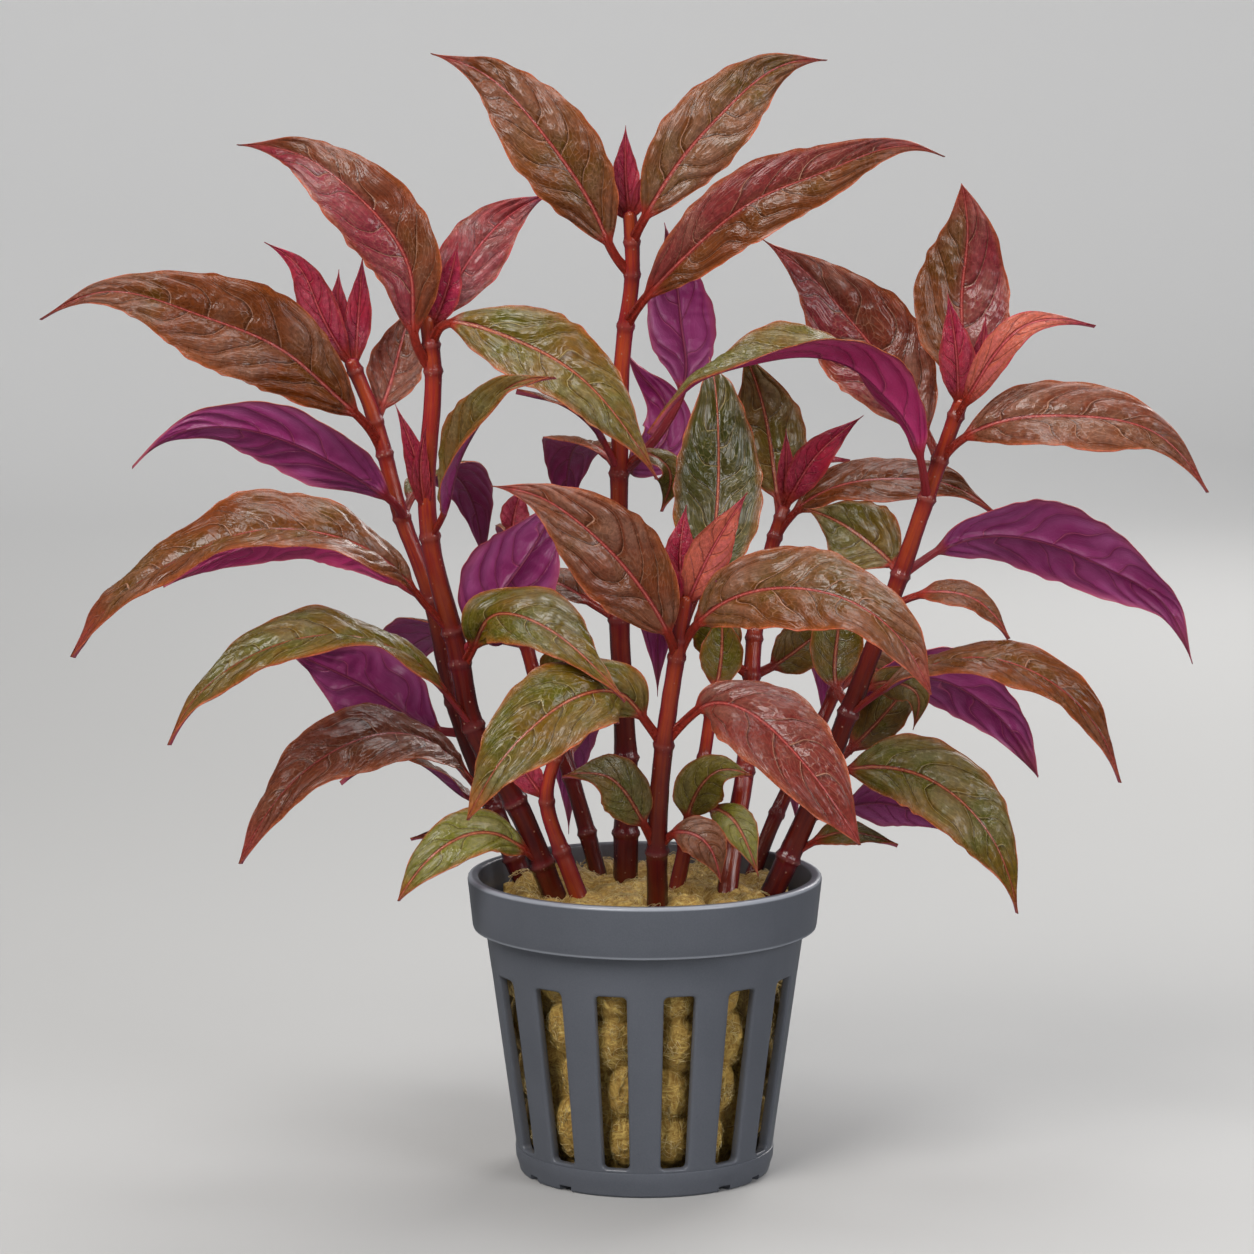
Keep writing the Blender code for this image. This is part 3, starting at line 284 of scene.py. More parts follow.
LEAVES = grown("leaf_", {
    "tall": [
        leaf("1_right", 147, [(-1, 149, -2), (5, 159, -4), (12, 167, -4), (22, 174.5, 0), (28, 175, 3)],
             12.5, FRONT, "bronze", green=0.5),
        leaf("2_left", 142, [(-4, 144, 0), (-7, 150, -2), (-16, 164, -4), (-25, 173, 0), (-33, 176, 4)],
             13.5, FRONT, "bronze", green=0.4),
        leaf("3_right", 134, [(-1, 137, -2), (8, 146.5, -8), (18, 154, -11), (27, 157.6, -11.5),
             (35, 160.8, -10), (41, 161.8, -8), (46.3, 160.2, -6)], 11.5, FRONT, "bronze", pink_side=-0.6),
        leaf("3_back", 111, [(-1, 113, 12), (3.5, 117.5, 18), (3, 122, 19), (-0.5, 126.3, 19),
             (-3.2, 130.5, 19)], 8.5, BACK, "bronze"),
        leaf("4_back_right", 111, [(0, 114.5, 8), (4.8, 121.5, 9.5), (6.4, 127.5, 10), (5.8, 133, 10),
             (5, 140, 10), (3, 150, 11)], 11.0, BACK, "bronze", stalk=0.4),
        leaf("4_back_left", 111, [(-6, 114, 12), (-10, 116, 24), (-12, 112, 36), (-13, 101, 44)], 11.0,
             UP_BACK, "bronze"),
        leaf("5_back", 88, [(-2, 92, 14), (1, 94, 27), (2, 88, 40), (2, 76, 47)], 11.5, UP_BACK, "olive"),
    ],
    "inner_left": [
        leaf("1_right", 131, [(-31.5, 134, -11), (-22, 132.6, -15), (-10, 126, -19), (-1, 115, -21),
             (2, 110, -20)], 13.5, (0.3, -1.0, 0.5), "olive", green=0.7),
        leaf("1_up", 133, [(-32, 136, -4), (-26, 146, 0), (-19, 152.5, 4), (-14.5, 154.5, 7)], 10.0, FRONT,
             "young", green=0.85),
        leaf("2_left", 127, [(-35.5, 131, -10), (-36.3, 141.5, -12), (-44.6, 154.2, -12), (-54, 160.7, -8),
             (-63, 162, -2)], 12.5, FRONT, "bronze", pink_side=-0.9, pink=0.15),
        leaf("3_right", 101, [(-31.5, 105, -12), (-30, 111, -15), (-26, 119, -20), (-20, 125, -25),
             (-14, 126, -28)], 11.5, (-1.0, -0.35, 0.3), "olive", fold=38, green=0.6),
        leaf("4_left", 86, [(-34, 90, -10), (-39, 96, -13), (-48, 101, -17), (-61, 102, -20),
             (-74, 97, -21), (-85, 89, -20), (-90, 82, -18)], 17.0, ((0.0, -0.5, 0.85), (0.0, -0.5, 0.85),
             (0.0, -0.36, 1.0), (0.0, -0.5, 0.85)), "bronze", green=0.45, fold=22, taper=BLUNT),
        leaf("5_up", 82, [(-26, 86, -9), (-23.7, 90.5, -8.5), (-19.1, 97.2, -7.5), (-13, 108, -5)], 15.5,
             (-0.4, 1.0, 0.15), "young"),
        leaf("5_right", 80, [(-26.5, 84.5, -12), (-24, 88.5, -16), (-16, 87, -22), (-10, 82.5, -26),
             (-3, 75, -29)], 12.5, (0.3, -0.8, 0.6), "olive", green=0.95),
        leaf("6_left", 71, [(-30, 75, -11), (-35, 80.5, -14), (-43, 84.8, -18), (-52, 85.4, -22),
             (-63, 81.6, -24), (-71, 75, -25), (-75, 68, -24)], 14.5, ((0.0, -0.4, 1.0), (0.0, -0.36, 1.0),
             (0.0, -0.6, 0.85)), "olive", fold=16),
        leaf("8_left", 49, [(-20, 52, -9), (-23.5, 53.8, -11), (-29, 53.3, -14), (-35, 48.8, -16),
             (-39, 43, -16)], 9.0, (0.0, -0.75, 0.7), "olive", green=-1.0, taper=BLUNT),
    ],
    "outer_left": [
        leaf("2_back", 119, [(-40, 124, 17), (-38, 131, 20), (-36, 138, 22)], 9.0, FRONT, "bronze",
             pink=0.3),
        leaf("3_left", 114, [(-43, 118, 12), (-48, 123, 10), (-56, 130, 8), (-70, 136, 6), (-84, 139.3, 6),
             (-94, 135, 8)], 16.0, (0.0, -1.0, 0.4), "bronze", green=0.3, taper=1.8),
        leaf("4_left", 104, [(-38.5, 105.5, 10), (-44, 109.9, 6), (-54, 115.5, 3), (-66, 118.5, 2),
             (-75, 116.5, 3), (-80, 112, 5)], 12.6, BACK_UP, "bronze", taper=2.2),
        leaf("4_back", 104, [(-36, 108, 20), (-31, 111.5, 30), (-27, 107, 39), (-25, 96, 45)], 10.5,
             UP_BACK, "olive"),
        leaf("5_left", 91, [(-38, 93.5, 15), (-47, 100.5, 19), (-57, 101, 22), (-67, 97.6, 23),
             (-75.5, 93.3, 23)], 12.0, BACK_UP, "bronze", green=0.55, blush=0.7),
        leaf("6_left", 70, [(-33, 70.5, 13), (-40, 75, 16), (-49, 80, 17), (-57, 83.5, 16)], 15.0, BACK,
             "bronze"),
        leaf("7_left", 58, [(-27, 62, 7), (-32, 67.5, 2), (-40, 70, -4), (-50, 66.5, -8), (-59, 58, -10),
             (-64, 49, -9)], 14.0, UP_FRONT, "bronze", pink=0.2, taper=BLUNT),
        leaf("7_back", 58, [(-28, 60, 13), (-34.5, 65, 20), (-41, 66.5, 25), (-48, 62, 27)], 12.0, UP_BACK,
             "bronze"),
    ],
    "front": [
        leaf("1_back", 86, [(8, 92, -19), (10.5, 100, -13), (11.5, 112, -8), (11, 124, -3), (10, 129, 6)],
             14.0, FRONT, "olive", green=1.7),
        leaf("1_left", 82, [(3.5, 86, -26), (-1, 93.5, -30), (-10, 103, -33), (-17, 107.5, -33),
             (-24, 109, -31)], 14.0, FRONT, "bronze", green=0.4, pink=0.15),
        leaf("1_right", 82, [(8, 87, -25), (13, 91, -29), (23, 93, -35), (33, 90.5, -40), (40, 85, -43),
             (45, 76, -43)], 14.5, (0.1, -0.9, 0.6), "bronze", green=0.5, taper=BLUNT),
        leaf("2_left", 68, [(0, 72, -21), (-3.5, 76, -24), (-10, 76, -29), (-17, 71.5, -33), (-23, 65, -35),
             (-28, 56, -35)], 14.5, (-0.3, -0.9, 0.45), "olive", green=0.9, taper=BLUNT),
        leaf("2_right", 68.5, [(6, 71.5, -21), (10, 74.5, -24), (16, 73.5, -29), (23, 67.5, -34),
             (29, 60, -37), (34, 52, -37)], 15.0, (0.35, -0.9, 0.4), "bronze", green=0.05, pink=0.45,
             stalk=0.18, taper=BLUNT),
    ],
    "outer_right": [
        leaf("1_back", 120, [(49.5, 127, 0), (49.2, 139, 3), (50, 149, 3), (49, 156, 2)], 15.5, FRONT,
             "bronze", pink_side=0.8, taper=BLUNT),
        leaf("1_right", 119, [(51, 124, -9), (54, 129, -12), (59, 134, -13), (70, 134, -11)], 5.5, FRONT_UP,
             "young", pink=1.0),
        leaf("2_left", 113, [(43.5, 118, 0), (38.2, 127, 3), (32, 134.8, 5), (25.8, 141.6, 5),
             (18.3, 147.4, 4)], 16.5, FRONT, "bronze", pink=0.3, pink_side=-0.5),
        leaf("2_right", 113, [(49, 116, -7), (55, 119, -10), (67, 120, -13), (79.5, 117.4, -14),
             (88, 108, -13)], 12.5, FRONT_UP, "bronze", pink=0.15),
        leaf("3_left", 107, [(43.2, 112.5, -8), (41, 118.8, -10), (37.2, 123.6, -12), (32.5, 127.8, -14.5),
             (26.5, 129.6, -16.5), (17, 128.5, -18), (7, 124.8, -17), (0.5, 117.2, -15)], 13.0,
             ((0.3, 1.0, 0.2), (0.44, 0.84, 0.33), (0.3, 0.3, 0.9), (0.0, -0.35, 1.0), (0.0, -0.35, 1.0),
             (-0.1, -0.2, 1.0)), "olive", blush=0.75, fold=32, droop=0.0),
        leaf("4_right", 95, [(43, 97, -2), (49, 100.5, 2), (60, 101, 5), (73, 96, 6), (81.5, 90.5, 6),
             (86, 81, 6)], 14.5, BACK_UP, "young"),
        leaf("4_left", 95, [(38, 97.5, -1), (34.5, 100.5, 2), (30, 103.5, 4), (25, 105.5, 4)], 12.5, FRONT,
             "olive"),
        leaf("5_right", 73, [(36, 76, -8), (43, 80, -11), (53, 82, -14), (64, 78, -16), (71, 71, -16),
             (75, 62, -15)], 13.0, ((0.0, -0.5, 0.85), (0.0, -0.25, 1.0), (0.0, -0.3, 1.0),
             (0.0, -0.6, 0.85), (0.0, -0.6, 0.85)), "bronze", green=0.45),
        leaf("5_back", 73, [(35, 76, 4), (43, 79, 10), (51, 76.5, 14), (58, 70, 16), (62, 63, 17)], 12.5,
             BACK_UP, "young", taper=BLUNT),
        leaf("6_right", 62, [(32, 64, -9), (41, 64, -12), (50, 59, -15), (56, 51, -16), (59, 41, -15)],
             14.5, (0.2, -0.8, 0.6), "olive", green=1.0),
    ],
    "inner_right": [
        leaf("1_left", 104, [(20.5, 109, 21), (19.5, 116, 24), (18, 123, 26), (15, 131, 26)], 12.5, FRONT,
             "olive", green=0.5),
        leaf("2_right", 101, [(24, 105.5, 16), (30, 109, 14), (40, 110.2, 12), (48, 109, 12),
             (55, 104.5, 12)], 12.0, UP_FRONT, "bronze"),
        leaf("5_back", 64, [(18, 69, 16), (21, 72, 29), (23, 66, 42), (24, 55, 50)], 11.5, UP_BACK,
             "olive"),
    ],
    "back_left": [
        leaf("1_back", 99, [(-20, 101.5, 31), (-18.5, 102, 45), (-18, 95, 57), (-18, 84, 63)], 10.5,
             UP_BACK, "bronze"),
        leaf("2_left", 84, [(-24, 85, 26), (-33, 86, 38), (-41, 79.5, 48), (-46, 70, 53)], 12.5, UP_BACK,
             "bronze"),
        leaf("3_back", 63, [(-12, 69, 27), (-12, 73, 40), (-12, 66, 52), (-12, 54, 58)], 12.0, UP_BACK,
             "olive"),
    ],
    "back_right": [
        leaf("1_up", 82, [(32, 87, 32), (30, 89, 44), (29, 81, 55), (28, 70, 61)], 11.5, UP_BACK, "bronze"),
        leaf("2_right", 76, [(33, 79, 27), (36.5, 80, 31), (36.5, 75, 34), (32.5, 66.5, 35)], 7.0,
             (0.3, -1.0, 0.2), "bronze", green=1.0),
    ],
})

# Small leaves and shoot tips, grown in one with their stem
SMALL_LEAVES = grown("", {
    "tall": [
        leaf("tip", 150, [(-3, 157, 0), (-3, 165, 0)], 4.5, FRONT, "young"),
        leaf("tip_right", 150, [(0, 155, -1), (3, 162, -2)], 3.2, FRONT, "young"),
        leaf("tip_left", 150, [(-5, 154, 1), (-7, 159, 1)], 3.2, FRONT, "young"),
        leaf("4_right", 111, [(0, 114, 3), (3.5, 112, 4), (2.5, 105, 5)], 6.0, UP_FRONT, "olive"),
        leaf("4_left", 111, [(-7, 117, 1), (-13, 122, -2), (-20, 124, -4)], 6.0, UP, "bronze"),
        leaf("5_left", 88, [(-9, 91, 4), (-15, 94, 4), (-23, 88, 4)], 8.5, UP_FRONT, "bronze"),
    ],
    "inner_left": [
        leaf("tip", 134, [(-33.5, 140, -8), (-34, 147, -8)], 3.4, FRONT, "young"),
        leaf("tip_right", 133, [(-31, 139, -10), (-29, 147, -11)], 5, FRONT, "young"),
        leaf("bud", 103, [(-36, 114, -11), (-39, 122, -12)], 4, FRONT, "young"),
        leaf("bud_right", 104, [(-35, 112, -11), (-34, 119, -12)], 3, FRONT, "young"),
    ],
    "outer_left": [
        leaf("tip_left", 127, [(-50.7, 136.7, 13), (-53.8, 143.3, 12), (-59, 147, 11)], 6.5, FRONT,
             "young"),
        leaf("tip_right", 127, [(-44.5, 136, 15), (-43.8, 145, 15)], 4.6, FRONT, "young"),
        leaf("tip_back", 127, [(-47.6, 136, 17), (-47.5, 142.8, 18)], 5, FRONT, "young"),
        leaf("8_left", 50, [(-28, 54, 8), (-37, 53, 9)], 4.5, UP_FRONT, "bronze"),
    ],
    "front": [
        leaf("tip_right", 89, [(10, 98, -26), (16, 108, -28)], 7.0, FRONT, "young", pink=1.0),
        leaf("tip_left", 89, [(2, 96, -26), (-3, 102, -28)], 5.5, FRONT, "young"),
        leaf("tip_back", 90, [(5.5, 98, -23), (6.5, 106, -22)], 5.5, FRONT, "young"),
        leaf("3_left", 51, [(-1, 57, -19), (-6, 63, -21), (-13, 63, -23)], 9, FRONT_UP, "olive"),
        leaf("3_right", 51, [(5, 54, -18), (9, 53, -20), (12, 46, -20)], 7, FRONT_UP, "bronze"),
    ],
    "outer_right": [
        leaf("tip", 121, [(48.5, 129, -7), (47, 139, -8)], 6, FRONT, "young"),
        leaf("tip_right", 121, [(52, 129, -6), (53, 136, -6)], 3.5, FRONT, "young"),
        leaf("4_front", 90, [(45, 92.3, -8), (52, 91, -9.5), (57.2, 84.9, -10)], 6.5, UP_FRONT, "bronze"),
        leaf("5_low", 75, [(38.5, 78, 1), (42.5, 76.5, 0), (42.2, 70.4, -1)], 5.5, FRONT, "olive"),
        leaf("5_left", 74, [(30, 78, 1), (30.3, 86, 4), (31.3, 95, 7)], 8.5, FRONT, "olive"),
        leaf("6_up", 64, [(36, 71, 3), (45, 82, 8)], 7, FRONT, "olive"),
        leaf("6_back", 56, [(37, 59, 2), (50.5, 53.5, 7)], 9.5, BACK_UP, "bronze"),
        leaf("7_right", 50, [(31, 54, -8), (40, 52, -9)], 5.5, UP_FRONT, "olive"),
    ],
    "inner_right": [
        leaf("tip", 105, [(22, 111, 17), (22, 118, 17)], 3.0, FRONT, "young"),
        leaf("tip_right", 105, [(27, 114, 15), (34, 120, 13)], 6, FRONT, "young"),
        leaf("tip_back", 105, [(27, 113, 20), (32, 113, 21)], 5, UP_FRONT, "young"),
        leaf("4_left", 79, [(14, 81, 9), (11, 86, 8), (8.5, 92, 6)], 8, FRONT, "olive"),
        leaf("4_right", 79, [(20, 80.5, 13), (25, 84, 15), (30, 88, 16)], 8, FRONT, "olive"),
    ],
    "short_left": [
        leaf("tip", 66, [(-13, 72, -12), (-11, 78, -13)], 5, FRONT, "young"),
        leaf("side", 59, [(-19, 64, -11), (-22, 70, -12)], 5, FRONT, "young"),
    ],
    "back_left": [
        leaf("tip", 101, [(-20, 106, 21), (-19, 109, 21)], 5, FRONT, "young"),
        leaf("side", 74, [(-13, 80, 17), (-9, 84, 17)], 8, FRONT, "olive"),
    ],
    "short_front": [
        leaf("tip", 73, [(12, 82, 4), (12, 90, 4)], 7, FRONT, "olive"),
        leaf("3_right", 58, [(14, 56, -8), (18, 47, -12)], 6, FRONT_UP, "olive", green=-0.8),
        leaf("4_right", 52, [(8, 60, -3), (12, 64, -4), (17, 63, -4)], 8.5, FRONT_UP, "olive", green=-0.6),
    ],
    "back_right": [
        leaf("tip", 84, [(33, 91, 23), (34, 97, 22)], 6, FRONT, "young"),
    ],
})


def seen(place):
    """The real point for a place that is written as (x, z, depth)."""
    x, z, depth = place
    reach = 1 + depth / EYE_DISTANCE
    return np.array([EYE_X + (x - EYE_X) * reach, depth, EYE_Z + (z - EYE_Z) * reach])


def unit(vectors):
    """The vector, or each of a row of vectors, at a length of 1."""
    return vectors / np.linalg.norm(vectors, axis=-1, keepdims=True)


def smooth_step(low, high, value):
    """0 below low, 1 above high, and a smooth rise between."""
    share = np.clip((value - low) / (high - low), 0, 1)
    return share * share * (3 - 2 * share)


def bump(value, reach):
    """1 where the value is 0, falling away smoothly over the reach."""
    return np.exp(-(value / reach) ** 2)


def spline(points, steps=240):
    """Points along the natural cubic curve through the given points, evenly spaced by length."""
    points = np.array(points, dtype=float)
    chords = np.linalg.norm(np.diff(points, axis=0), axis=1)
    knots = np.concatenate([[0.0], np.cumsum(chords)])
    count = len(points)
    matrix = np.eye(count)
    right = np.zeros_like(points)
    for i in range(1, count - 1):
        before = chords[i - 1]
        after = chords[i]
        matrix[i, i - 1] = before
        matrix[i, i] = 2 * (before + after)
        matrix[i, i + 1] = after
        right[i] = 6 * ((points[i + 1] - points[i]) / after - (points[i] - points[i - 1]) / before)
    bends = np.linalg.solve(matrix, right)
    places = np.linspace(0, knots[-1], steps)
    span_index = np.clip(np.searchsorted(knots, places, side="right") - 1, 0, count - 2)
    span = chords[span_index][:, None]
    a = (knots[span_index + 1] - places)[:, None] / span
    b = 1 - a
    bend = ((a ** 3 - a) * bends[span_index] + (b ** 3 - b) * bends[span_index + 1]) * span * span / 6
    fine = a * points[span_index] + b * points[span_index + 1] + bend
    lengths = np.concatenate([[0.0], np.cumsum(np.linalg.norm(np.diff(fine, axis=0), axis=1))])
    even = np.linspace(0, lengths[-1], steps)
    return np.stack([np.interp(even, lengths, fine[:, axis]) for axis in range(3)], axis=1)


def curve_length(curve):
    return np.linalg.norm(np.diff(curve, axis=0), axis=1).sum()


def along(curve, shares):
    """The points and the directions at shares of the curve's length."""
    shares = np.atleast_1d(shares)
    steps = len(curve) - 1
    slopes = unit(np.gradient(curve, axis=0))
    place = shares * steps
    point = np.stack([np.interp(place, range(steps + 1), curve[:, axis]) for axis in range(3)], axis=1)
    slope = np.stack([np.interp(place, range(steps + 1), slopes[:, axis]) for axis in range(3)], axis=1)
    return point, unit(slope)


def stem_curve(name):
    """The stem's middle line from its top to its foot, buried a little way in the wool."""
    points = [seen(place) for place in STEMS[name]["route"]]
    points.append(points[-1] + unit(points[-1] - points[-2]) * STEM_BURIED)
    return spline(points)


def share_at_height(curve, height):
    """How far down a stem's curve the seen height lies."""
    reach = 1 + curve[:, 1] / EYE_DISTANCE
    heights = EYE_Z + (curve[:, 2] - EYE_Z) / reach
    return float(np.interp(-height, -heights, np.linspace(0, 1, len(curve))))


def stem_radius(name, share):
    top, foot = STEMS[name]["radii"]
    return top + (foot - top) * share


def rise_and_fall(rng, waves, longest, shortest):
    """A smooth random relief over two measures in mm: a sum of slanting waves between two lengths."""
    lengths = np.exp(rng.uniform(math.log(shortest), math.log(longest), waves))
    turns = rng.uniform(0, math.tau, waves)
    starts = rng.uniform(0, math.tau, waves)

    def relief(x, y):
        total = np.zeros(np.broadcast(x, y).shape)
        for length, turn, start in zip(lengths, turns, starts):
            total += np.sin(math.tau * (x * math.cos(turn) + y * math.sin(turn)) / length + start)
        return total / math.sqrt(waves)
    return relief


# Meshes

def mesh_piece(name, points, faces, finishes, face_finish=None, maps=None, marks=None):
    """A named piece from points in mm, with a finish for each face, UV maps and colour marks per point."""
    mesh = bpy.data.meshes.new(name)
    mesh.from_pydata(np.asarray(points) * MM, [], faces)
    for finish in finishes:
        mesh.materials.append(finish)
    if face_finish is not None:
        mesh.polygons.foreach_set("material_index", face_finish)
    corners = np.empty(len(mesh.loops), dtype=np.int64)
    mesh.loops.foreach_get("vertex_index", corners)
    for map_name, values in (maps or {}).items():
        layer = mesh.uv_layers.new(name=map_name)
        layer.uv.foreach_set("vector", np.asarray(values, dtype=np.float32)[corners].ravel())
    if marks is not None:
        layer = mesh.color_attributes.new("marks", 'FLOAT_COLOR', 'POINT')
        layer.data.foreach_set("color", np.asarray(marks, dtype=np.float32).ravel())
    mesh.shade_smooth()
    mesh.validate()
    item = bpy.data.objects.new(name, mesh)
    bpy.context.scene.collection.objects.link(item)
    return item


def sheet_faces(rows, columns, start, flip):
    """Quads of a grid of points whose first index is start."""
    row, column = np.meshgrid(np.arange(rows - 1), np.arange(columns - 1), indexing="ij")
    a = (start + row * columns + column).ravel()
    quads = np.stack([a, a + 1, a + columns + 1, a + columns], axis=1)
    return quads[:, ::-1] if flip else quads


def tube_faces(rows, columns, start=0):
    """Quads that join rings of points, ring after ring, whose first index is start."""
    quads = []
    for row in range(rows - 1):
        a = start + row * columns
        for i in range(columns):
            after = (i + 1) % columns
            quads.append([a + i, a + after, a + columns + after, a + columns + i])
    return quads


def round_axis(radius, angle, height):
    """Points at angles round the pot's axis."""
    return np.stack([radius * np.cos(angle), radius * np.sin(angle), height + 0 * angle], axis=-1)


# Leaf form

def leaf_curve(shape):
    """The midrib from the middle of the stem to the tip."""
    curve = stem_curve(shape["stem"])
    root, _ = along(curve, share_at_height(curve, shape["joint"]))
    return spline([root[0]] + [seen(place) for place in shape["route"]])


def leaf_sides(shape, shares, direction):
    """Directions across a leaf and out of its upper side, at shares of its length."""
    faces = np.array(shape["faces"], dtype=float)
    place = shares * (len(faces) - 1)
    facing = np.stack([np.interp(place, range(len(faces)), faces[:, axis]) for axis in range(3)], axis=1)
    out = unit(facing - direction * (facing * direction).sum(axis=1, keepdims=True))
    return np.cross(direction, out), out


def blade_shape(share, tip_taper):
    """Half width of a blade, from 0 to 1, at a share of its length: a lance shape."""
    bend = math.log(0.5) / math.log(WIDEST_AT)
    taper = np.where(share < WIDEST_AT, BASE_TAPER, tip_taper)
    return np.clip(np.sin(math.pi * np.clip(share, 0, 1) ** bend), 0, 1) ** taper


def vein_phase(veins, across, blade):
    """Whole numbers on the side veins: they leave the midrib by turns, sweep forward and arch."""
    away = np.abs(across)
    return veins * blade - VEIN_SWEEP * away - VEIN_ARCH * away ** 3 + 0.5 * (across > 0)


def across_places(columns):
    """Places across a leaf, from -1 to 1, closer together beside the midrib."""
    steps = np.linspace(-1, 1, columns)
    return (np.sign(steps) * np.abs(steps) ** 1.25)[None, :]


class LeafForm:
    """The form of one leaf: rows of points along its midrib and the relief of its two sides."""

    def __init__(self, shape, seed, rows, small=False):
        self.shape = shape
        self.rng = np.random.default_rng(seed)
        curve = leaf_curve(shape)
        self.length = curve_length(curve)
        stalk = SMALL_STALK_SHARE if small else shape["stalk"]
        if small and shape["tone"] == "young":
            stalk = BUD_STALK_SHARE
        stalk_rows = max(4, rows // 7)
        self.shares = np.concatenate([np.linspace(0, stalk, stalk_rows, endpoint=False),
                                      np.linspace(stalk, 1, rows - stalk_rows)])
        self.point, direction = along(curve, self.shares)
        self.side, self.out = leaf_sides(shape, self.shares, direction)
        self.before = ((self.shares - stalk) / (1 - stalk))[:, None]
        self.blade = np.clip(self.before, 0, 1)
        blade_length = self.length * (1 - stalk)
        self.veins = SMALL_LEAF_VEINS if small else max(FEWEST_VEINS, round(blade_length / VEIN_SPACING))
        self.flare = STALK_FLARE * bump(self.shares, stalk * STALK_FLARE_REACH)[:, None]
        self.stalk_half = min(STALK_HALF_WIDTH, shape["width"] * STALK_MOST_OF_WIDTH)
        self.size = min(1.0, shape["width"] / FULL_RELIEF_WIDTH)
        self.waves = self.rng.uniform(0, math.tau, 6)
        self.ripple = rise_and_fall(self.rng, 9, 7.0, 2.4)
        self.unevenness = rise_and_fall(self.rng, 5, 24.0, 9.0)
        self.pucker = rise_and_fall(self.rng, 14, 3.6, 1.5)

    def phase(self, u):
        """Whole numbers on the side veins."""
        drift = VEIN_DRIFT * self.unevenness(u * 8, self.blade * self.length)
        return vein_phase(self.veins, u, self.blade) + drift * np.clip(np.abs(u) * 3, 0, 1)

    def widths(self, u):
        """Half width of the leaf at each place, and how far each place is blade rather than stalk."""
        plain = self.shape["width"] / 2 * blade_shape(self.blade, self.shape["taper"])
        fade = 1 - smooth_step(0.3, 1.0, self.blade) * 0.9
        uneven = MARGIN_SCALLOP * np.sin(math.tau * (self.phase(u) + 0.1))
        uneven = uneven + MARGIN_UNEVENNESS * self.ripple(12 * np.sign(u), self.blade * self.length)
        scallop = 1 + np.abs(u) ** 4 * uneven
        half = np.hypot(plain * scallop, self.stalk_half * (1 + self.flare) * fade)
        is_blade = smooth_step(self.stalk_half * 1.1, self.stalk_half + 1.6, plain) * np.ones_like(u)
        return half, is_blade * (1 - smooth_step(0.97, 1.0, self.blade))

    def lift(self, u, half):
        """Height of the bare blade: folded along the midrib, with drooping and waving margins."""
        away = np.abs(u)
        fold = self.shape["fold"] * (1.14 - 0.26 * np.sin(math.pi * self.blade))

        def wave_of(times, counts, starts):
            """A wave along the margin, with a count and a start of its own on the right and the left."""
            right, left = (np.sin(math.tau * times * count * self.blade + start)
                           for count, start in zip(counts, starts))
            return np.where(u > 0, right, left)

        fine = wave_of(self.veins, MARGIN_FINE_WAVES, self.waves[:2])
        slow = wave_of(1, MARGIN_SLOW_WAVES, self.waves[2:4])
        fade = (1 - smooth_step(0.75, 0.98, self.blade)) * smooth_step(0.0, 0.15, self.blade)
        wave = self.size * away ** 2.2 * fade * (MARGIN_FINE_WAVE * fine + MARGIN_SLOW_WAVE * slow)
        return away * half * np.sin(fold) - u * u * half * self.shape["droop"] + wave

    def relief(self, u, half):
        """Heights that the veins and the quilted panels between them add above and below."""
        away = np.abs(u)
        distance = away * half
        panel = np.sin(math.pi * self.phase(u)) ** 2
        inner = smooth_step(0.02, 0.22, away) * (1 - smooth_step(0.80, 1.0, away))
        ends = smooth_step(0.0, 0.08, self.blade) * (1 - smooth_step(0.8, 0.97, self.blade))
        soft = self.ripple(u * half, self.blade * self.length)
        puckers = PUCKER_RISE * self.pucker(u * half, self.blade * self.length)
        pillow = self.size * inner * ends * (PANEL_RISE * panel ** 0.7 + PANEL_UNEVENNESS * soft + puckers)
        groove = MIDRIB_CREST * bump(distance, 0.20) - MIDRIB_GROOVE * bump(distance, 0.7)
        groove = self.size * groove * (1 - 0.6 * self.blade)
        rib = MIDRIB_DEPTH * self.size * (1 - 0.75 * self.blade)
        rib_below = rib * np.sqrt(np.clip(1 - (distance / (1.25 * rib)) ** 2, 0, 1))
        vein_below = VEIN_RIDGE * self.size * inner * ends * (1 - panel) ** 4
        thickness = MARGIN_THICKNESS + MIDDLE_THICKENING * (1 - away ** 3)
        return groove + pillow, 0.85 * pillow - thickness - rib_below - vein_below

    def sheet(self, columns, upper):
        """Points of one side of the leaf, with its two maps and its colour marks."""
        u = across_places(columns)
        half, is_blade = self.widths(u)
        above, below = self.relief(u, half)
        thick = STALK_THICKNESS * self.stalk_half / STALK_HALF_WIDTH * (1 + 0.5 * self.flare)
        round_side = np.sqrt(np.clip(1 - u * u, 0, 1))
        if upper:
            stalk_height = thick * (STALK_ABOVE * round_side - STALK_CHANNEL * bump(u, 0.35))
            blade_height = self.lift(u, half) + above
        else:
            stalk_height = -thick * STALK_BELOW * round_side
            blade_height = self.lift(u, half) + below
        height = (1 - is_blade) * stalk_height + is_blade * blade_height
        wide = u * half * np.cos(self.shape["fold"])
        points = (self.point[:, None, :] + self.side[:, None, :] * wide[:, :, None]
                  + self.out[:, None, :] * height[:, :, None])
        first = self.shape["green"] if upper else self.shape["blush"]
        return points.reshape(-1, 3), self.maps(u, half, is_blade, first)

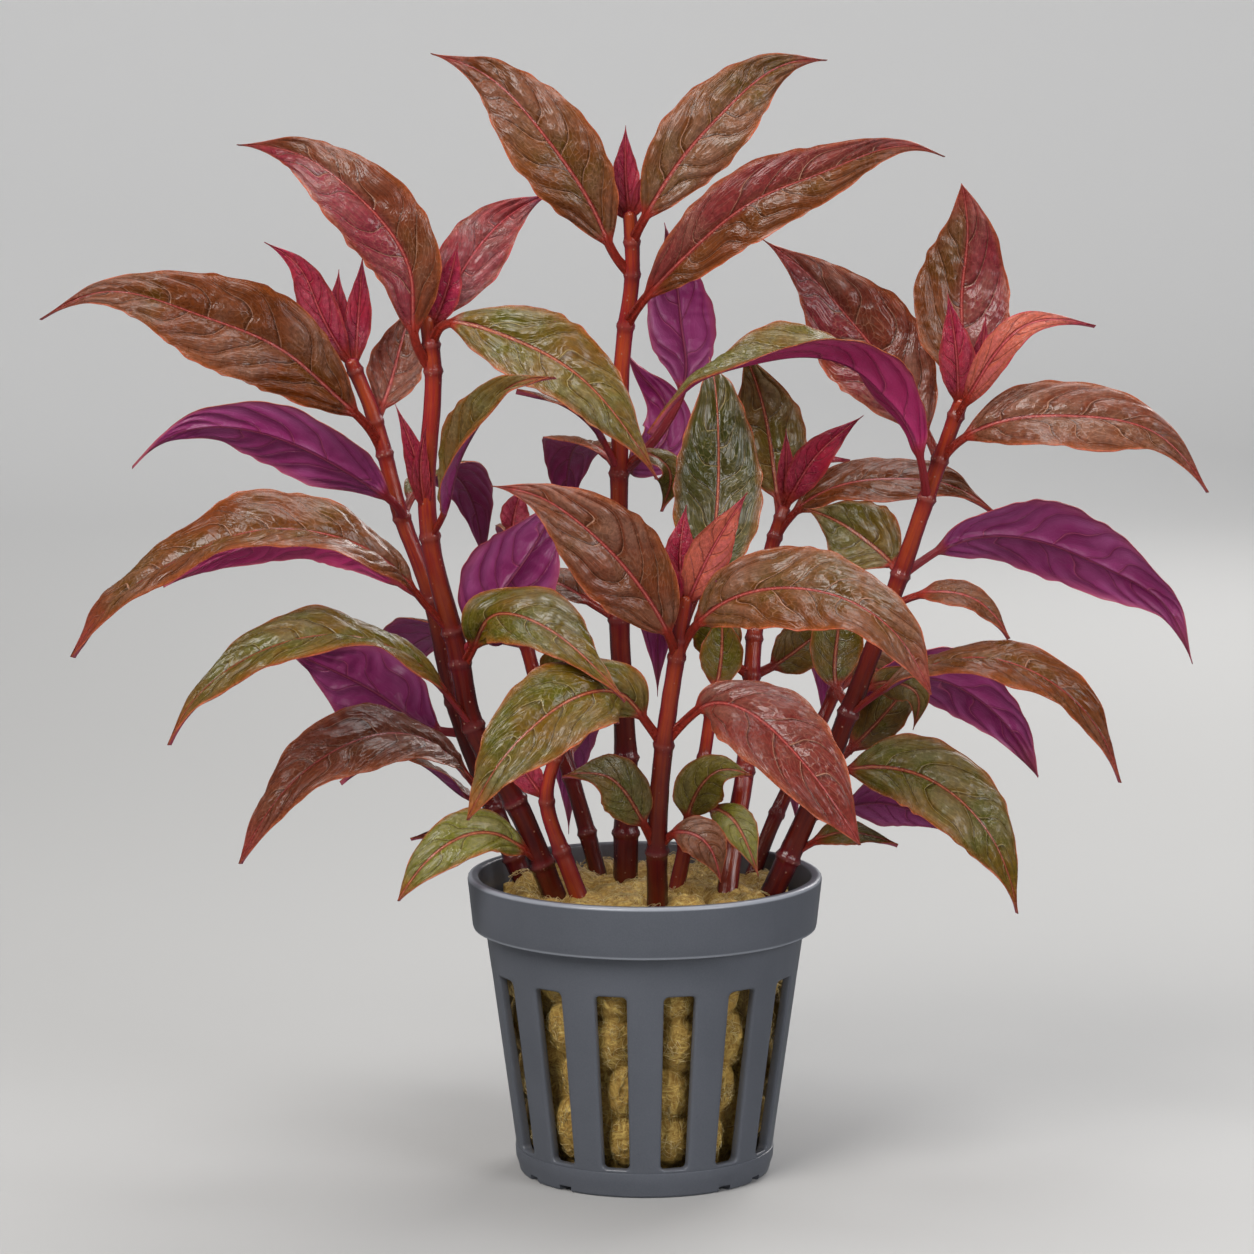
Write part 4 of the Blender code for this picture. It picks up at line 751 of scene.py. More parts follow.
    def maps(self, u, half, is_blade, first):
        """Place and measure maps and colour marks (green or blush, pink, stalk, tip) for the finishes."""
        ones = np.ones_like(half)
        away = np.abs(u)
        drift = self.phase(u) - vein_phase(self.veins, u, self.blade)
        place = np.stack([(u + 1) / 2 * ones, self.before * self.veins + drift], axis=2)
        measure = np.stack([away * half / 10, (1 - away) * half / 10], axis=2)
        shape = self.shape
        one_side = smooth_step(-0.25, 0.25, u * np.sign(shape["pink_side"]))
        pink = np.clip(shape["pink"] + abs(shape["pink_side"]) * one_side * ones, 0, 1)
        stalk = (1 - is_blade) * (1 - smooth_step(0.3, 0.6, self.blade))
        tip = smooth_step(0.80, 1.0, self.blade) * ones
        marks = np.stack([first * ones, pink, stalk, tip], axis=2)
        return place.reshape(-1, 2), measure.reshape(-1, 2), marks.reshape(-1, 4)

    def skin(self, upper_columns, lower_columns):
        """The whole closed leaf: points, faces, a 1 for each face of the underside, maps and marks."""
        upper, upper_maps = self.sheet(upper_columns, True)
        lower, lower_maps = self.sheet(lower_columns, False)
        rows = len(self.shares)
        start = len(upper)
        faces = sheet_faces(rows, upper_columns, 0, True).tolist()
        low_side = [0] * len(faces)
        faces += sheet_faces(rows, lower_columns, start, False).tolist()
        low_side += [1] * (len(faces) - len(low_side))
        for row in range(rows - 1):
            a = row * upper_columns
            b = a + upper_columns
            low_a = start + row * lower_columns
            low_b = low_a + lower_columns
            faces.append([a, b, low_b, low_a])
            faces.append([b - 1, low_b - 1, low_b + lower_columns - 1, b + upper_columns - 1])
        last = (rows - 1) * upper_columns
        low_last = start + (rows - 1) * lower_columns
        faces.append(list(range(upper_columns)) + [start + i for i in reversed(range(lower_columns))])
        faces.append([last + i for i in reversed(range(upper_columns))]
                     + [low_last + i for i in range(lower_columns)])
        low_side += [0] * (len(faces) - len(low_side))
        joined = [np.concatenate(pair) for pair in zip(upper_maps, lower_maps)]
        return np.concatenate([upper, lower]), faces, low_side, *joined


# Stem form

def stem_form(name):
    """Points, faces, UV map and marks of a jointed stem with shallow lengthwise ribs."""
    rng = np.random.default_rng(sum(map(ord, name)))
    curve = stem_curve(name)
    length = curve_length(curve)
    rings = int(length / STEM_RING_STEP)
    shares = np.linspace(0, 1, rings)
    point, direction = along(curve, shares)
    sides = []
    side = unit(np.cross(direction[0], (0.0, 1.0, 0.0)))
    for way in direction:
        side = unit(side - way * side.dot(way))
        sides.append(side)
    sides = np.array(sides)
    others = np.cross(direction, sides)

    joints = [share_at_height(curve, joint) for joint in STEMS[name]["joints"]]
    away = np.min(np.abs(shares[:, None] - np.array(joints)[None, :]), axis=1) * length
    swell = 1 + JOINT_SWELL * bump(away, JOINT_SWELL_REACH) + JOINT_RING * bump(away, JOINT_RING_REACH)
    waist = 1 - JOINT_WAIST * bump(away - JOINT_WAIST_PLACE, JOINT_WAIST_REACH)
    angle = np.linspace(0, math.tau, STEM_SIDES, endpoint=False)[None, :]
    twist = (shares * length * STEM_TWIST)[:, None]
    ribs = 1 + RIB_RISE * np.cos(4 * (angle + twist)) + FINE_RIB_RISE * np.cos(7 * angle + 3 * twist)
    knots = 1 + STEM_UNEVENNESS * rise_and_fall(rng, 6, 9.0, 2.5)(angle * 1.5, (shares * length)[:, None])
    radius = (stem_radius(name, shares) * swell * waist)[:, None] * ribs * knots
    from_top = np.clip(shares * length / STEM_TOP_BEND, 0, 1)
    top_round = np.sqrt(np.clip(1 - (1 - from_top) ** 2, 0.05, 1))[:, None]
    radius = radius * top_round
    points = (point[:, None, :] + sides[:, None, :] * (radius * np.cos(angle))[:, :, None]
              + others[:, None, :] * (radius * np.sin(angle))[:, :, None])
    faces = [[a, d, c, b] for a, b, c, d in tube_faces(rings, STEM_SIDES)]
    faces.append(list(range(STEM_SIDES)))
    faces.append([(rings - 1) * STEM_SIDES + corner for corner in reversed(range(STEM_SIDES))])

    height = points[:, :, 2]
    age = np.clip((AGES_BELOW.get(name, USUALLY_AGES_BELOW) - height) / AGEING_HEIGHT, 0, 1)
    ring_mark = np.repeat(bump(away, 0.22)[:, None], STEM_SIDES, axis=1)
    below = np.repeat(bump(away, JOINT_SWELL_REACH)[:, None], STEM_SIDES, axis=1)
    marks = np.stack([age, ring_mark, below, np.ones_like(age)], axis=2)
    place = np.stack([np.broadcast_to(angle / math.tau, age.shape),
                      np.repeat((shares * length / 10)[:, None], STEM_SIDES, axis=1)], axis=2)
    return points.reshape(-1, 3), faces, place.reshape(-1, 2), marks.reshape(-1, 4)


# Pot form

def pot_body_radius(height):
    """Outside radius of the slotted wall at a height."""
    levels = [FOOT_HEIGHT, POT_HEIGHT - BAND_HEIGHT]
    return np.interp(height, levels, [BODY_FOOT_RADIUS, BODY_TOP_RADIUS])


def pot_inner_radius(height):
    """Inside radius of the pot at a height."""
    levels = [FLOOR, INNER_STEP_FOOT, INNER_STEP_TOP, POT_HEIGHT]
    radii = [BASE_RADIUS - WALL, BODY_TOP_RADIUS - WALL, BAND_FOOT_RADIUS - LIP_WIDTH, RIM_RADIUS - LIP_WIDTH]
    return np.interp(height, levels, radii)


def slot_edge():
    """Points round a sharp slot, in shares of its half width and half height, closer at the corners."""
    near = SLOT_CORNER / (SLOT_HALF_ANGLE * BODY_FOOT_RADIUS)
    tall = SLOT_CORNER / ((SLOT_TOP - SLOT_FOOT) / 2)
    corner = np.array([0.0, 0.3, 0.55, 0.8, 1.0])
    wide = np.concatenate([-1 + corner * near, [-0.22, 0.22], (1 - corner * near)[::-1]])
    straight = np.linspace(-1 + tall, 1 - tall, 9)[1:-1]
    high = np.concatenate([-1 + corner * tall, straight, (1 - corner * tall)[::-1]])
    edge = [(x, -1.0) for x in wide[:-1]]
    edge += [(1.0, z) for z in high[:-1]]
    edge += [(x, 1.0) for x in wide[:0:-1]]
    edge += [(-1.0, z) for z in high[:0:-1]]
    return np.array(edge), wide


def rounded_slot(edge, spread):
    """The slot's edge with round corners, in mm from its middle, widened all round by the spread."""
    half_wide = SLOT_HALF_ANGLE * (BODY_FOOT_RADIUS + BODY_TOP_RADIUS) / 2
    half_high = (SLOT_TOP - SLOT_FOOT) / 2
    sharp = edge * (half_wide, half_high)
    core = np.clip(sharp, (-(half_wide - SLOT_CORNER), -(half_high - SLOT_CORNER)),
                   (half_wide - SLOT_CORNER, half_high - SLOT_CORNER))
    return core + unit(sharp - core) * (SLOT_CORNER + spread)


def net_pot(finish):
    """The slotted pot: fourteen slots with rolled edges between a banded rim and a stepped foot."""
    edge, wide = slot_edge()
    mean_radius = (BODY_FOOT_RADIUS + BODY_TOP_RADIUS) / 2
    middle_height = (SLOT_TOP + SLOT_FOOT) / 2
    low = SLOT_FOOT - SLOT_MARGIN_BELOW
    high = SLOT_TOP + SLOT_MARGIN_ABOVE
    border = np.stack([edge[:, 0] * SLOT_PITCH / 2, np.interp(edge[:, 1], [-1, 1], [low, high])], axis=1)

    def slot_ring(spread):
        ring = rounded_slot(edge, spread)
        return np.stack([ring[:, 0] / mean_radius, ring[:, 1] + middle_height], axis=1)

    outer_edge = slot_ring(SLOT_OUTER_SPREAD)
    inner_edge = slot_ring(SLOT_INNER_SPREAD)
    rings = [(outer_edge + (border - outer_edge) * share, 0.0) for share in (1.0, 0.6, 0.25, 0.0)]
    rings += [(slot_ring(spread), depth) for spread, depth in SLOT_ROLL]
    rings += [(inner_edge + (border - inner_edge) * share, 1.0) for share in (0.0, 0.5, 1.0)]

    points = []
    faces = []
    for turn in SLOT_TURNS:
        faces += tube_faces(len(rings), len(edge), len(points))
        for ring, depth in rings:
            outer = pot_body_radius(ring[:, 1])
            inner = pot_inner_radius(ring[:, 1])
            points += round_axis(outer + (inner - outer) * depth, turn + ring[:, 0], ring[:, 1]).tolist()

    angles = np.array([turn + x * SLOT_PITCH / 2 for turn in SLOT_TURNS for x in wide[:-1]])

    def turned(outline, closed_end=False):
        """Adds a wall of the outline, given as (radius, height), with a lid at its end where closed."""
        start = len(points)
        columns = len(angles)
        for radius, height in outline:
            points.extend(round_axis(radius, angles, height).tolist())
        faces.extend(tube_faces(len(outline), columns, start))
        if closed_end:
            a = start + (len(outline) - 1) * columns
            faces.append([a + i for i in range(columns)])

    band_foot = POT_HEIGHT - BAND_HEIGHT
    upper = [(pot_body_radius(high), high), (BODY_TOP_RADIUS - 0.05, band_foot - 0.5),
             (BODY_TOP_RADIUS + 0.15, band_foot - 0.12), (BODY_TOP_RADIUS + 0.4, band_foot),
             (BAND_FOOT_RADIUS - BAND_EDGE, band_foot), (BAND_FOOT_RADIUS - 0.1, band_foot + 0.1),
             (BAND_FOOT_RADIUS, band_foot + BAND_EDGE)]
    upper += [(BAND_FOOT_RADIUS + (RIM_RADIUS - BAND_FOOT_RADIUS) * share,
               band_foot + BAND_EDGE + BAND_STRAIGHT * share) for share in (0.33, 0.66, 1.0)]
    upper += arc_points(RIM_RADIUS - LIP_BEND, POT_HEIGHT - LIP_BEND, LIP_BEND, 0, 90, 5)
    upper += arc_points(RIM_RADIUS - LIP_WIDTH + INNER_LIP_BEND, POT_HEIGHT - INNER_LIP_BEND, INNER_LIP_BEND,
                        90, 180, 4)
    upper += [(float(pot_inner_radius(height)), height)
              for height in (44.5, INNER_STEP_TOP, INNER_STEP_FOOT, high)]
    turned(upper)
    lower = [(pot_body_radius(low), low), (BODY_FOOT_RADIUS, FOOT_HEIGHT + 0.12),
             (BODY_FOOT_RADIUS + FOOT_STEP * 0.8, FOOT_HEIGHT + 0.06),
             (BODY_FOOT_RADIUS + FOOT_STEP, FOOT_HEIGHT - 0.12), (BODY_FOOT_RADIUS + 0.05, 2.2),
             (BASE_RADIUS + 0.08, 0.8)]
    lower += arc_points(BASE_RADIUS - BASE_BEND_INSET, BASE_BEND, BASE_BEND, 0, -90, 4)
    turned(lower, closed_end=True)
    inside = [(float(pot_inner_radius(low)), low), (float(pot_inner_radius(2.4)), 2.4),
              (float(pot_inner_radius(FLOOR)) - 0.6, FLOOR)]
    turned(inside, closed_end=True)

    shape = mesh_piece("net_pot_detailed", points, faces, [finish])
    work = bmesh.new()
    work.from_mesh(shape.data)
    bmesh.ops.remove_doubles(work, verts=work.verts, dist=WELD_DISTANCE * MM)
    bmesh.ops.recalc_face_normals(work, faces=work.faces)
    work.to_mesh(shape.data)
    work.free()
    cut_notches(shape)
    shape.data.shade_smooth()
    shape.data.set_sharp_from_angle(angle=POT_SHARP_ANGLE)
    return shape


def arc_points(radius, height, bend, start, end, count):
    """Points of a round corner in the turned outline."""
    turns = [math.radians(start + (end - start) * i / (count - 1)) for i in range(count)]
    return [(radius + bend * math.cos(turn), height + bend * math.sin(turn)) for turn in turns]


BOX_FACES = ((3, 2, 1, 0), (4, 5, 6, 7), (0, 1, 5, 4), (1, 2, 6, 5), (2, 3, 7, 6), (3, 0, 4, 7))


def cut_notches(pot):
    """Drain notches in the bottom edge, below four slots at the front and four at the back."""
    near, far = NOTCH_REACH
    points = []
    faces = []
    for turn in NOTCH_ANGLES:
        for way in (-90 - turn, 90 - turn, -90 + turn, 90 + turn):
            angle = math.radians(way)
            forward = np.array([math.cos(angle), math.sin(angle), 0])
            across = np.array([-math.sin(angle), math.cos(angle), 0]) * NOTCH_WIDTH / 2
            faces += [[len(points) + i for i in face] for face in BOX_FACES]
            for height in (-1.0, NOTCH_HEIGHT):
                for reach, side in ((near, -1), (far, -1), (far, 1), (near, 1)):
                    points.append(forward * reach + across * side + np.array([0, 0, height]))
    cutter = mesh_piece("notch_cutter", points, faces, [])
    step = pot.modifiers.new("notches", 'BOOLEAN')
    step.operation = 'DIFFERENCE'
    step.solver = 'EXACT'
    step.object = cutter
    depsgraph = bpy.context.evaluated_depsgraph_get()
    mesh = bpy.data.meshes.new_from_object(pot.evaluated_get(depsgraph))
    pot.modifiers.clear()
    pot.data = mesh
    bpy.data.objects.remove(cutter)


# Node work

class Sheet:
    """A node tree being filled, with short ways to add the nodes that the finishes use."""

    def __init__(self, tree):
        self.tree = tree

    def put(self, value, socket):
        """Links a socket, or sets a plain value."""
        if isinstance(value, bpy.types.NodeSocket):
            self.tree.links.new(value, socket)
        elif isinstance(value, tuple) and len(value) == 3 and len(socket.default_value) == 4:
            socket.default_value = (*value, 1.0)
        else:
            socket.default_value = value

    def node(self, kind, settings=None, **inputs):
        node = self.tree.nodes.new(kind)
        for key, value in (settings or {}).items():
            setattr(node, key, value)
        for key, value in inputs.items():
            self.put(value, node.inputs[key.replace("_", " ")])
        return node

    def math(self, operation, first, second=0.0, third=0.0):
        node = self.node("ShaderNodeMath", {"operation": operation})
        for value, socket in zip((first, second, third), node.inputs):
            self.put(value, socket)
        return node.outputs[0]

    def times(self, first, second, plus=0.0):
        """The product of two values, with a third added."""
        return self.math('MULTIPLY_ADD', first, second, plus)

    def sum_of(self, *parts):
        """The sum of values, each given as (value, weight)."""
        total = 0.0
        for value, weight in parts:
            total = self.times(value, weight, total)
        return total

    def rise(self, value, low, high, start=0.0, end=1.0):
        """A smooth change from start to end as the value goes from low to high."""
        node = self.node("ShaderNodeMapRange", {"interpolation_type": 'SMOOTHSTEP'}, Value=value)
        for name, number in (("From Min", low), ("From Max", high), ("To Min", start), ("To Max", end)):
            self.put(number, node.inputs[name])
        return node.outputs["Result"]

    def blend(self, share, first, second):
        node = self.node("ShaderNodeMix", {"data_type": 'RGBA', "clamp_factor": True})
        self.put(share, node.inputs["Factor"])
        self.put(first, node.inputs[6])
        self.put(second, node.inputs[7])
        return node.outputs[2]

    def layers(self, colour, *layers):
        """A colour with others laid over it, each given as (mask, strength, tone)."""
        for mask, strength, tone in layers:
            colour = self.blend(self.times(mask, strength), colour, tone)
        return colour

    def noise(self, place, scale, detail=3.0, roughness=0.55):
        node = self.node("ShaderNodeTexNoise", None, Vector=place, Scale=scale, Detail=detail,
                         Roughness=roughness)
        return node.outputs["Fac"]

    def apart(self, vector):
        node = self.node("ShaderNodeSeparateXYZ", None, Vector=vector)
        return node.outputs[0], node.outputs[1], node.outputs[2]

    def together(self, x, y, z=0.0):
        node = self.node("ShaderNodeCombineXYZ")
        for value, socket in zip((x, y, z), node.inputs):
            self.put(value, socket)
        return node.outputs[0]

    def stretched(self, place, scale):
        node = self.node("ShaderNodeMapping", None, Vector=place, Scale=scale)
        return node.outputs[0]

    def map(self, name):
        return self.node("ShaderNodeUVMap", {"uv_map": name}).outputs[0]

    def object_place(self):
        return self.node("ShaderNodeTexCoord").outputs["Object"]

    def marks(self):
        """The four marks that a piece's points carry."""
        marks = self.node("ShaderNodeAttribute", {"attribute_name": "marks"})
        node = self.node("ShaderNodeSeparateColor", None, Color=marks.outputs["Color"])
        return node.outputs[0], node.outputs[1], node.outputs[2], marks.outputs["Alpha"]

    def group(self, tree, **inputs):
        return self.node("ShaderNodeGroup", {"node_tree": tree}, **inputs).outputs

    def bump(self, height, distance):
        return self.node("ShaderNodeBump", None, Height=height, Distance=distance).outputs[0]


def new_group(name, inputs, outputs):
    """An empty node group with named sockets, and the sheet to fill it on."""
    tree = bpy.data.node_groups.new(name, "ShaderNodeTree")
    for socket_name, kind, value in inputs:
        socket = tree.interface.new_socket(socket_name, in_out='INPUT', socket_type=kind)
        if value is not None:
            socket.default_value = value
    for socket_name, kind in outputs:
        tree.interface.new_socket(socket_name, in_out='OUTPUT', socket_type=kind)
    sheet = Sheet(tree)
    return tree, sheet, sheet.node("NodeGroupInput").outputs, sheet.node("NodeGroupOutput").inputs


def leaf_veins_group():
    """Masks of a leaf's midrib, side veins, fine net, wrinkles and margin, from its two maps."""
    number = "NodeSocketFloat"
    tree, sheet, given, result = new_group(
        "leaf veins",
        [("Place", "NodeSocketVector", None), ("Measure", "NodeSocketVector", None),
         ("Line Width", number, 0.055), ("Net Scale", number, 5.6)],
        [(name, number) for name in ("Midrib", "Midrib Crest", "Side Veins", "Shaded Crease", "Net", "Bubbles",
                                     "Wrinkles", "Margin", "Panel", "Away")])
    across, along_leaf, _ = sheet.apart(given["Place"])
    from_midrib, from_margin, _ = sheet.apart(given["Measure"])
    centred = sheet.times(across, 2.0, -1.0)
    away = sheet.math('ABSOLUTE', centred)
    right = sheet.math('GREATER_THAN', centred, 0.0)
    arch = sheet.times(sheet.math('POWER', away, 3.0), VEIN_ARCH)
    forward = sheet.times(away, VEIN_SWEEP, arch)
    phase = sheet.times(right, 0.5, sheet.math('SUBTRACT', along_leaf, forward))
    cell = sheet.math('FRACT', phase)
    both_ways = sheet.math('ABSOLUTE', sheet.times(cell, 2.0, -1.0))
    panel = sheet.math('SUBTRACT', 1.0, both_ways)
    line = sheet.rise(panel, 0.0, given["Line Width"], 1.0, 0.0)
    start = sheet.rise(along_leaf, 0.1, 0.6)
    reach = sheet.times(sheet.rise(away, 0.62, 0.96, 1.0, 0.0), start)
    # A narrow band on the tipward side of each side vein, where the colour is darkened as painted shade of
    # the crease
    beside = sheet.times(sheet.rise(cell, 0.0, 0.03), sheet.rise(cell, 0.03, 0.16, 1.0, 0.0))
    net_place = sheet.together(sheet.times(centred, 1.3), phase)
    cells = sheet.node("ShaderNodeTexVoronoi", {"feature": 'DISTANCE_TO_EDGE', "voronoi_dimensions": '2D'},
                       Vector=net_place, Scale=given["Net Scale"])
    wander = sheet.noise(net_place, 1.7, 2.0)
    crossing = sheet.times(from_midrib, WRINKLE_CLOSENESS, sheet.times(wander, WRINKLE_WANDER))
    crossing = sheet.times(sheet.math('SINE', crossing), 0.5, 0.5)
    shown = sheet.rise(sheet.noise(net_place, 1.1, 1.0), 0.42, 0.62)
    crossing = sheet.times(crossing, shown)
    rib_width = sheet.rise(along_leaf, 0.0, 7.0, *MIDRIB_LINE)
    crest_width = sheet.times(rib_width, 0.45)
    masks = {
        "Midrib": sheet.rise(from_midrib, sheet.times(rib_width, 0.7), rib_width, 1.0, 0.0),
        "Midrib Crest": sheet.rise(from_midrib, 0.0, crest_width, 1.0, 0.0),
        "Side Veins": sheet.times(line, reach),
        "Shaded Crease": sheet.times(beside, reach),
        "Net": sheet.rise(cells.outputs["Distance"], 0.0, 0.08, 1.0, 0.0),
        "Bubbles": sheet.rise(cells.outputs["Distance"], 0.0, 0.25),
        "Wrinkles": sheet.times(crossing, sheet.rise(panel, 0.0, 0.4)),
        "Margin": sheet.rise(from_margin, 0.005, 0.020, 1.0, 0.0),
        "Panel": panel,
        "Away": away,
    }
    for name, value in masks.items():
        sheet.put(value, result[name])
    return tree


def flecks_group():
    """Soft patches and fine grain of a living surface."""
    number = "NodeSocketFloat"
    tree, sheet, given, result = new_group(
        "living flecks",
        [("Place", "NodeSocketVector", None), ("Patch Scale", number, 140.0),
         ("Grain Scale", number, 1500.0)],
        [("Patches", number), ("Grain", number)])
    patches = sheet.noise(given["Place"], given["Patch Scale"], 3.0, 0.6)
    grain = sheet.noise(given["Place"], given["Grain Scale"], 2.0, 0.6)
    sheet.put(sheet.rise(patches, 0.33, 0.67), result["Patches"])
    sheet.put(grain, result["Grain"])
    return tree


def new_finish(name, preview):
    """A material with its Principled shader, and the sheet to fill it on."""
    finish = bpy.data.materials.new(name)
    finish.use_nodes = True
    finish.diffuse_color = (*preview, 1.0)
    sheet = Sheet(finish.node_tree)
    return finish, sheet, finish.node_tree.nodes["Principled BSDF"].inputs


# Tones that the leaves share
DARK_GREEN = (0.022, 0.026, 0.001)
YELLOW_GREEN = (0.140, 0.145, 0.002)
RUSSET = (0.33, 0.070, 0.006)
MIDRIB_FLANK = (0.24, 0.020, 0.020)
UPPER_STALK = (0.26, 0.020, 0.010)
UNDER_STALK = (0.25, 0.015, 0.022)


def leaf_upper_finish(name, groups, brown, green_tone, pink_tone, vein_tone, midrib_pink_and_highlight, painted_sheen_tone,
                      margin_tone, tip_tone):
    """A glossy upper side: mottled brown and green, a painted silvery sheen on the panels, painted shade
    beside the side veins, fine veins and a salmon margin.
    """
    finish, sheet, shader = new_finish(name, brown)
    shader["Specular IOR Level"].default_value = 0.40
    green, pink, stalk, tip = sheet.marks()
    veins = sheet.group(groups["veins"], Place=sheet.map("place"), Measure=sheet.map("measure"))
    place = sheet.object_place()
    flecks = sheet.group(groups["flecks"], Place=place, Patch_Scale=150.0, Grain_Scale=1700.0)
    drifting = sheet.noise(place, 95.0, 2.0)
    mottle = sheet.times(sheet.math('SUBTRACT', drifting, 0.5), 1.3, green)
    mottle = sheet.times(veins["Away"], -0.20, mottle)
    # Painted sheen: a pale silvery tone laid on the panels between the veins, standing in for the gloss of
    # the light on them
    painted_sheen = sheet.rise(sheet.noise(place, 55.0, 2.0, 0.5), 0.40, 0.66, 0.0, 0.46)
    painted_sheen = sheet.times(painted_sheen, sheet.rise(veins["Panel"], 0.06, 0.50))
    painted_sheen = sheet.times(painted_sheen, sheet.rise(green, 1.05, 1.6, 1.0, 0.25))
    colour = sheet.layers(
        sheet.blend(sheet.rise(mottle, 0.05, 0.75), brown, green_tone),
        (flecks["Patches"], 0.45, (brown[0] * 1.8, brown[1] * 1.45, brown[2] * 0.7)),
        (sheet.rise(green, 1.05, 1.6), 0.8, DARK_GREEN),
        (sheet.rise(green, -0.9, -0.1, 1.0, 0.0), 0.9, YELLOW_GREEN),
        (pink, 0.85, pink_tone),
        (painted_sheen, sheet.times(veins["Wrinkles"], -0.7, 0.90), painted_sheen_tone),
        (sheet.rise(veins["Away"], 0.78, 1.0), 0.45, RUSSET),
        # Painted shade: the crease beside each side vein, darkened to a quarter of the brown
        (veins["Shaded Crease"], 0.62, tuple(share * 0.25 for share in brown)),
        (veins["Net"], sheet.rise(drifting, 0.35, 0.60, 0.10, 0.38), vein_tone),
        (veins["Side Veins"], sheet.rise(drifting, 0.30, 0.60, 0.50, 1.0), vein_tone),
        (tip, 0.8, tip_tone),
        (veins["Midrib"], 0.85, MIDRIB_FLANK),
        # The midrib's crest line: its own pink, made paler as a painted highlight along the crest
        (veins["Midrib Crest"], 0.75, midrib_pink_and_highlight),
        (veins["Margin"], sheet.rise(flecks["Patches"], 0.0, 1.0, 0.45, 0.95), margin_tone),
        (stalk, 1.0, UPPER_STALK))
    grain = sheet.rise(flecks["Grain"], 0.3, 0.7, 0.80, 1.20)
    colour = sheet.node("ShaderNodeVectorMath", {"operation": 'SCALE'}, Vector=colour, Scale=grain).outputs[0]
    sheet.put(colour, shader["Base Color"])
    rough = sheet.times(flecks["Grain"], 0.08, sheet.times(flecks["Patches"], 0.08, 0.215))
    sheet.put(rough, shader["Roughness"])
    height = sheet.sum_of((veins["Bubbles"], 0.20), (flecks["Grain"], 0.08), (veins["Wrinkles"], 0.14),
                          (veins["Side Veins"], 0.30), (veins["Shaded Crease"], -0.45), (veins["Midrib"], 0.9))
    sheet.put(sheet.bump(height, 0.13 * MM), shader["Normal"])
    return finish


def leaf_under_finish(name, groups, base, light, dark, blush_tone, margin_tone, tip_tone):
    """A satin underside with a dark midrib, pale bands between the veins and a lighter margin."""
    finish, sheet, shader = new_finish(name, base)
    shader["Specular IOR Level"].default_value = 0.35
    blush, _, stalk, tip = sheet.marks()
    veins = sheet.group(groups["veins"], Place=sheet.map("place"), Measure=sheet.map("measure"))
    place = sheet.object_place()
    flecks = sheet.group(groups["flecks"], Place=place, Patch_Scale=110.0, Grain_Scale=1500.0)
    bands = sheet.times(sheet.rise(veins["Panel"], 0.1, 0.8), sheet.rise(veins["Away"], 0.15, 0.8))
    bands = sheet.times(bands, sheet.rise(sheet.noise(place, 70.0, 2.0), 0.36, 0.62))
    colour = sheet.layers(
        base,
        (flecks["Patches"], 0.35, light),
        (bands, 0.75, light),
        (blush, 0.75, blush_tone),
        # Painted shade in the crease beside each side vein
        (veins["Shaded Crease"], 0.60, dark),
        (veins["Side Veins"], 0.45, margin_tone),
        (veins["Net"], 0.10, light),
        (sheet.rise(veins["Away"], 0.75, 1.0), 0.35, margin_tone),
        (tip, 0.75, tip_tone),
        (veins["Midrib"], 0.8, dark),
        # A paler line along the midrib's crest: partly its own pink, partly a painted highlight
        (veins["Midrib Crest"], 0.35, margin_tone),
        (veins["Margin"], 0.75, margin_tone),
        (stalk, 1.0, UNDER_STALK))
    sheet.put(colour, shader["Base Color"])
    sheet.put(sheet.times(flecks["Grain"], 0.14, 0.30), shader["Roughness"])
    height = sheet.sum_of((flecks["Grain"], 0.3), (veins["Side Veins"], 0.8), (veins["Net"], 0.20),
                          (veins["Wrinkles"], 0.22), (veins["Midrib"], 0.9))
    sheet.put(sheet.bump(height, 0.11 * MM), shader["Normal"])
    return finish


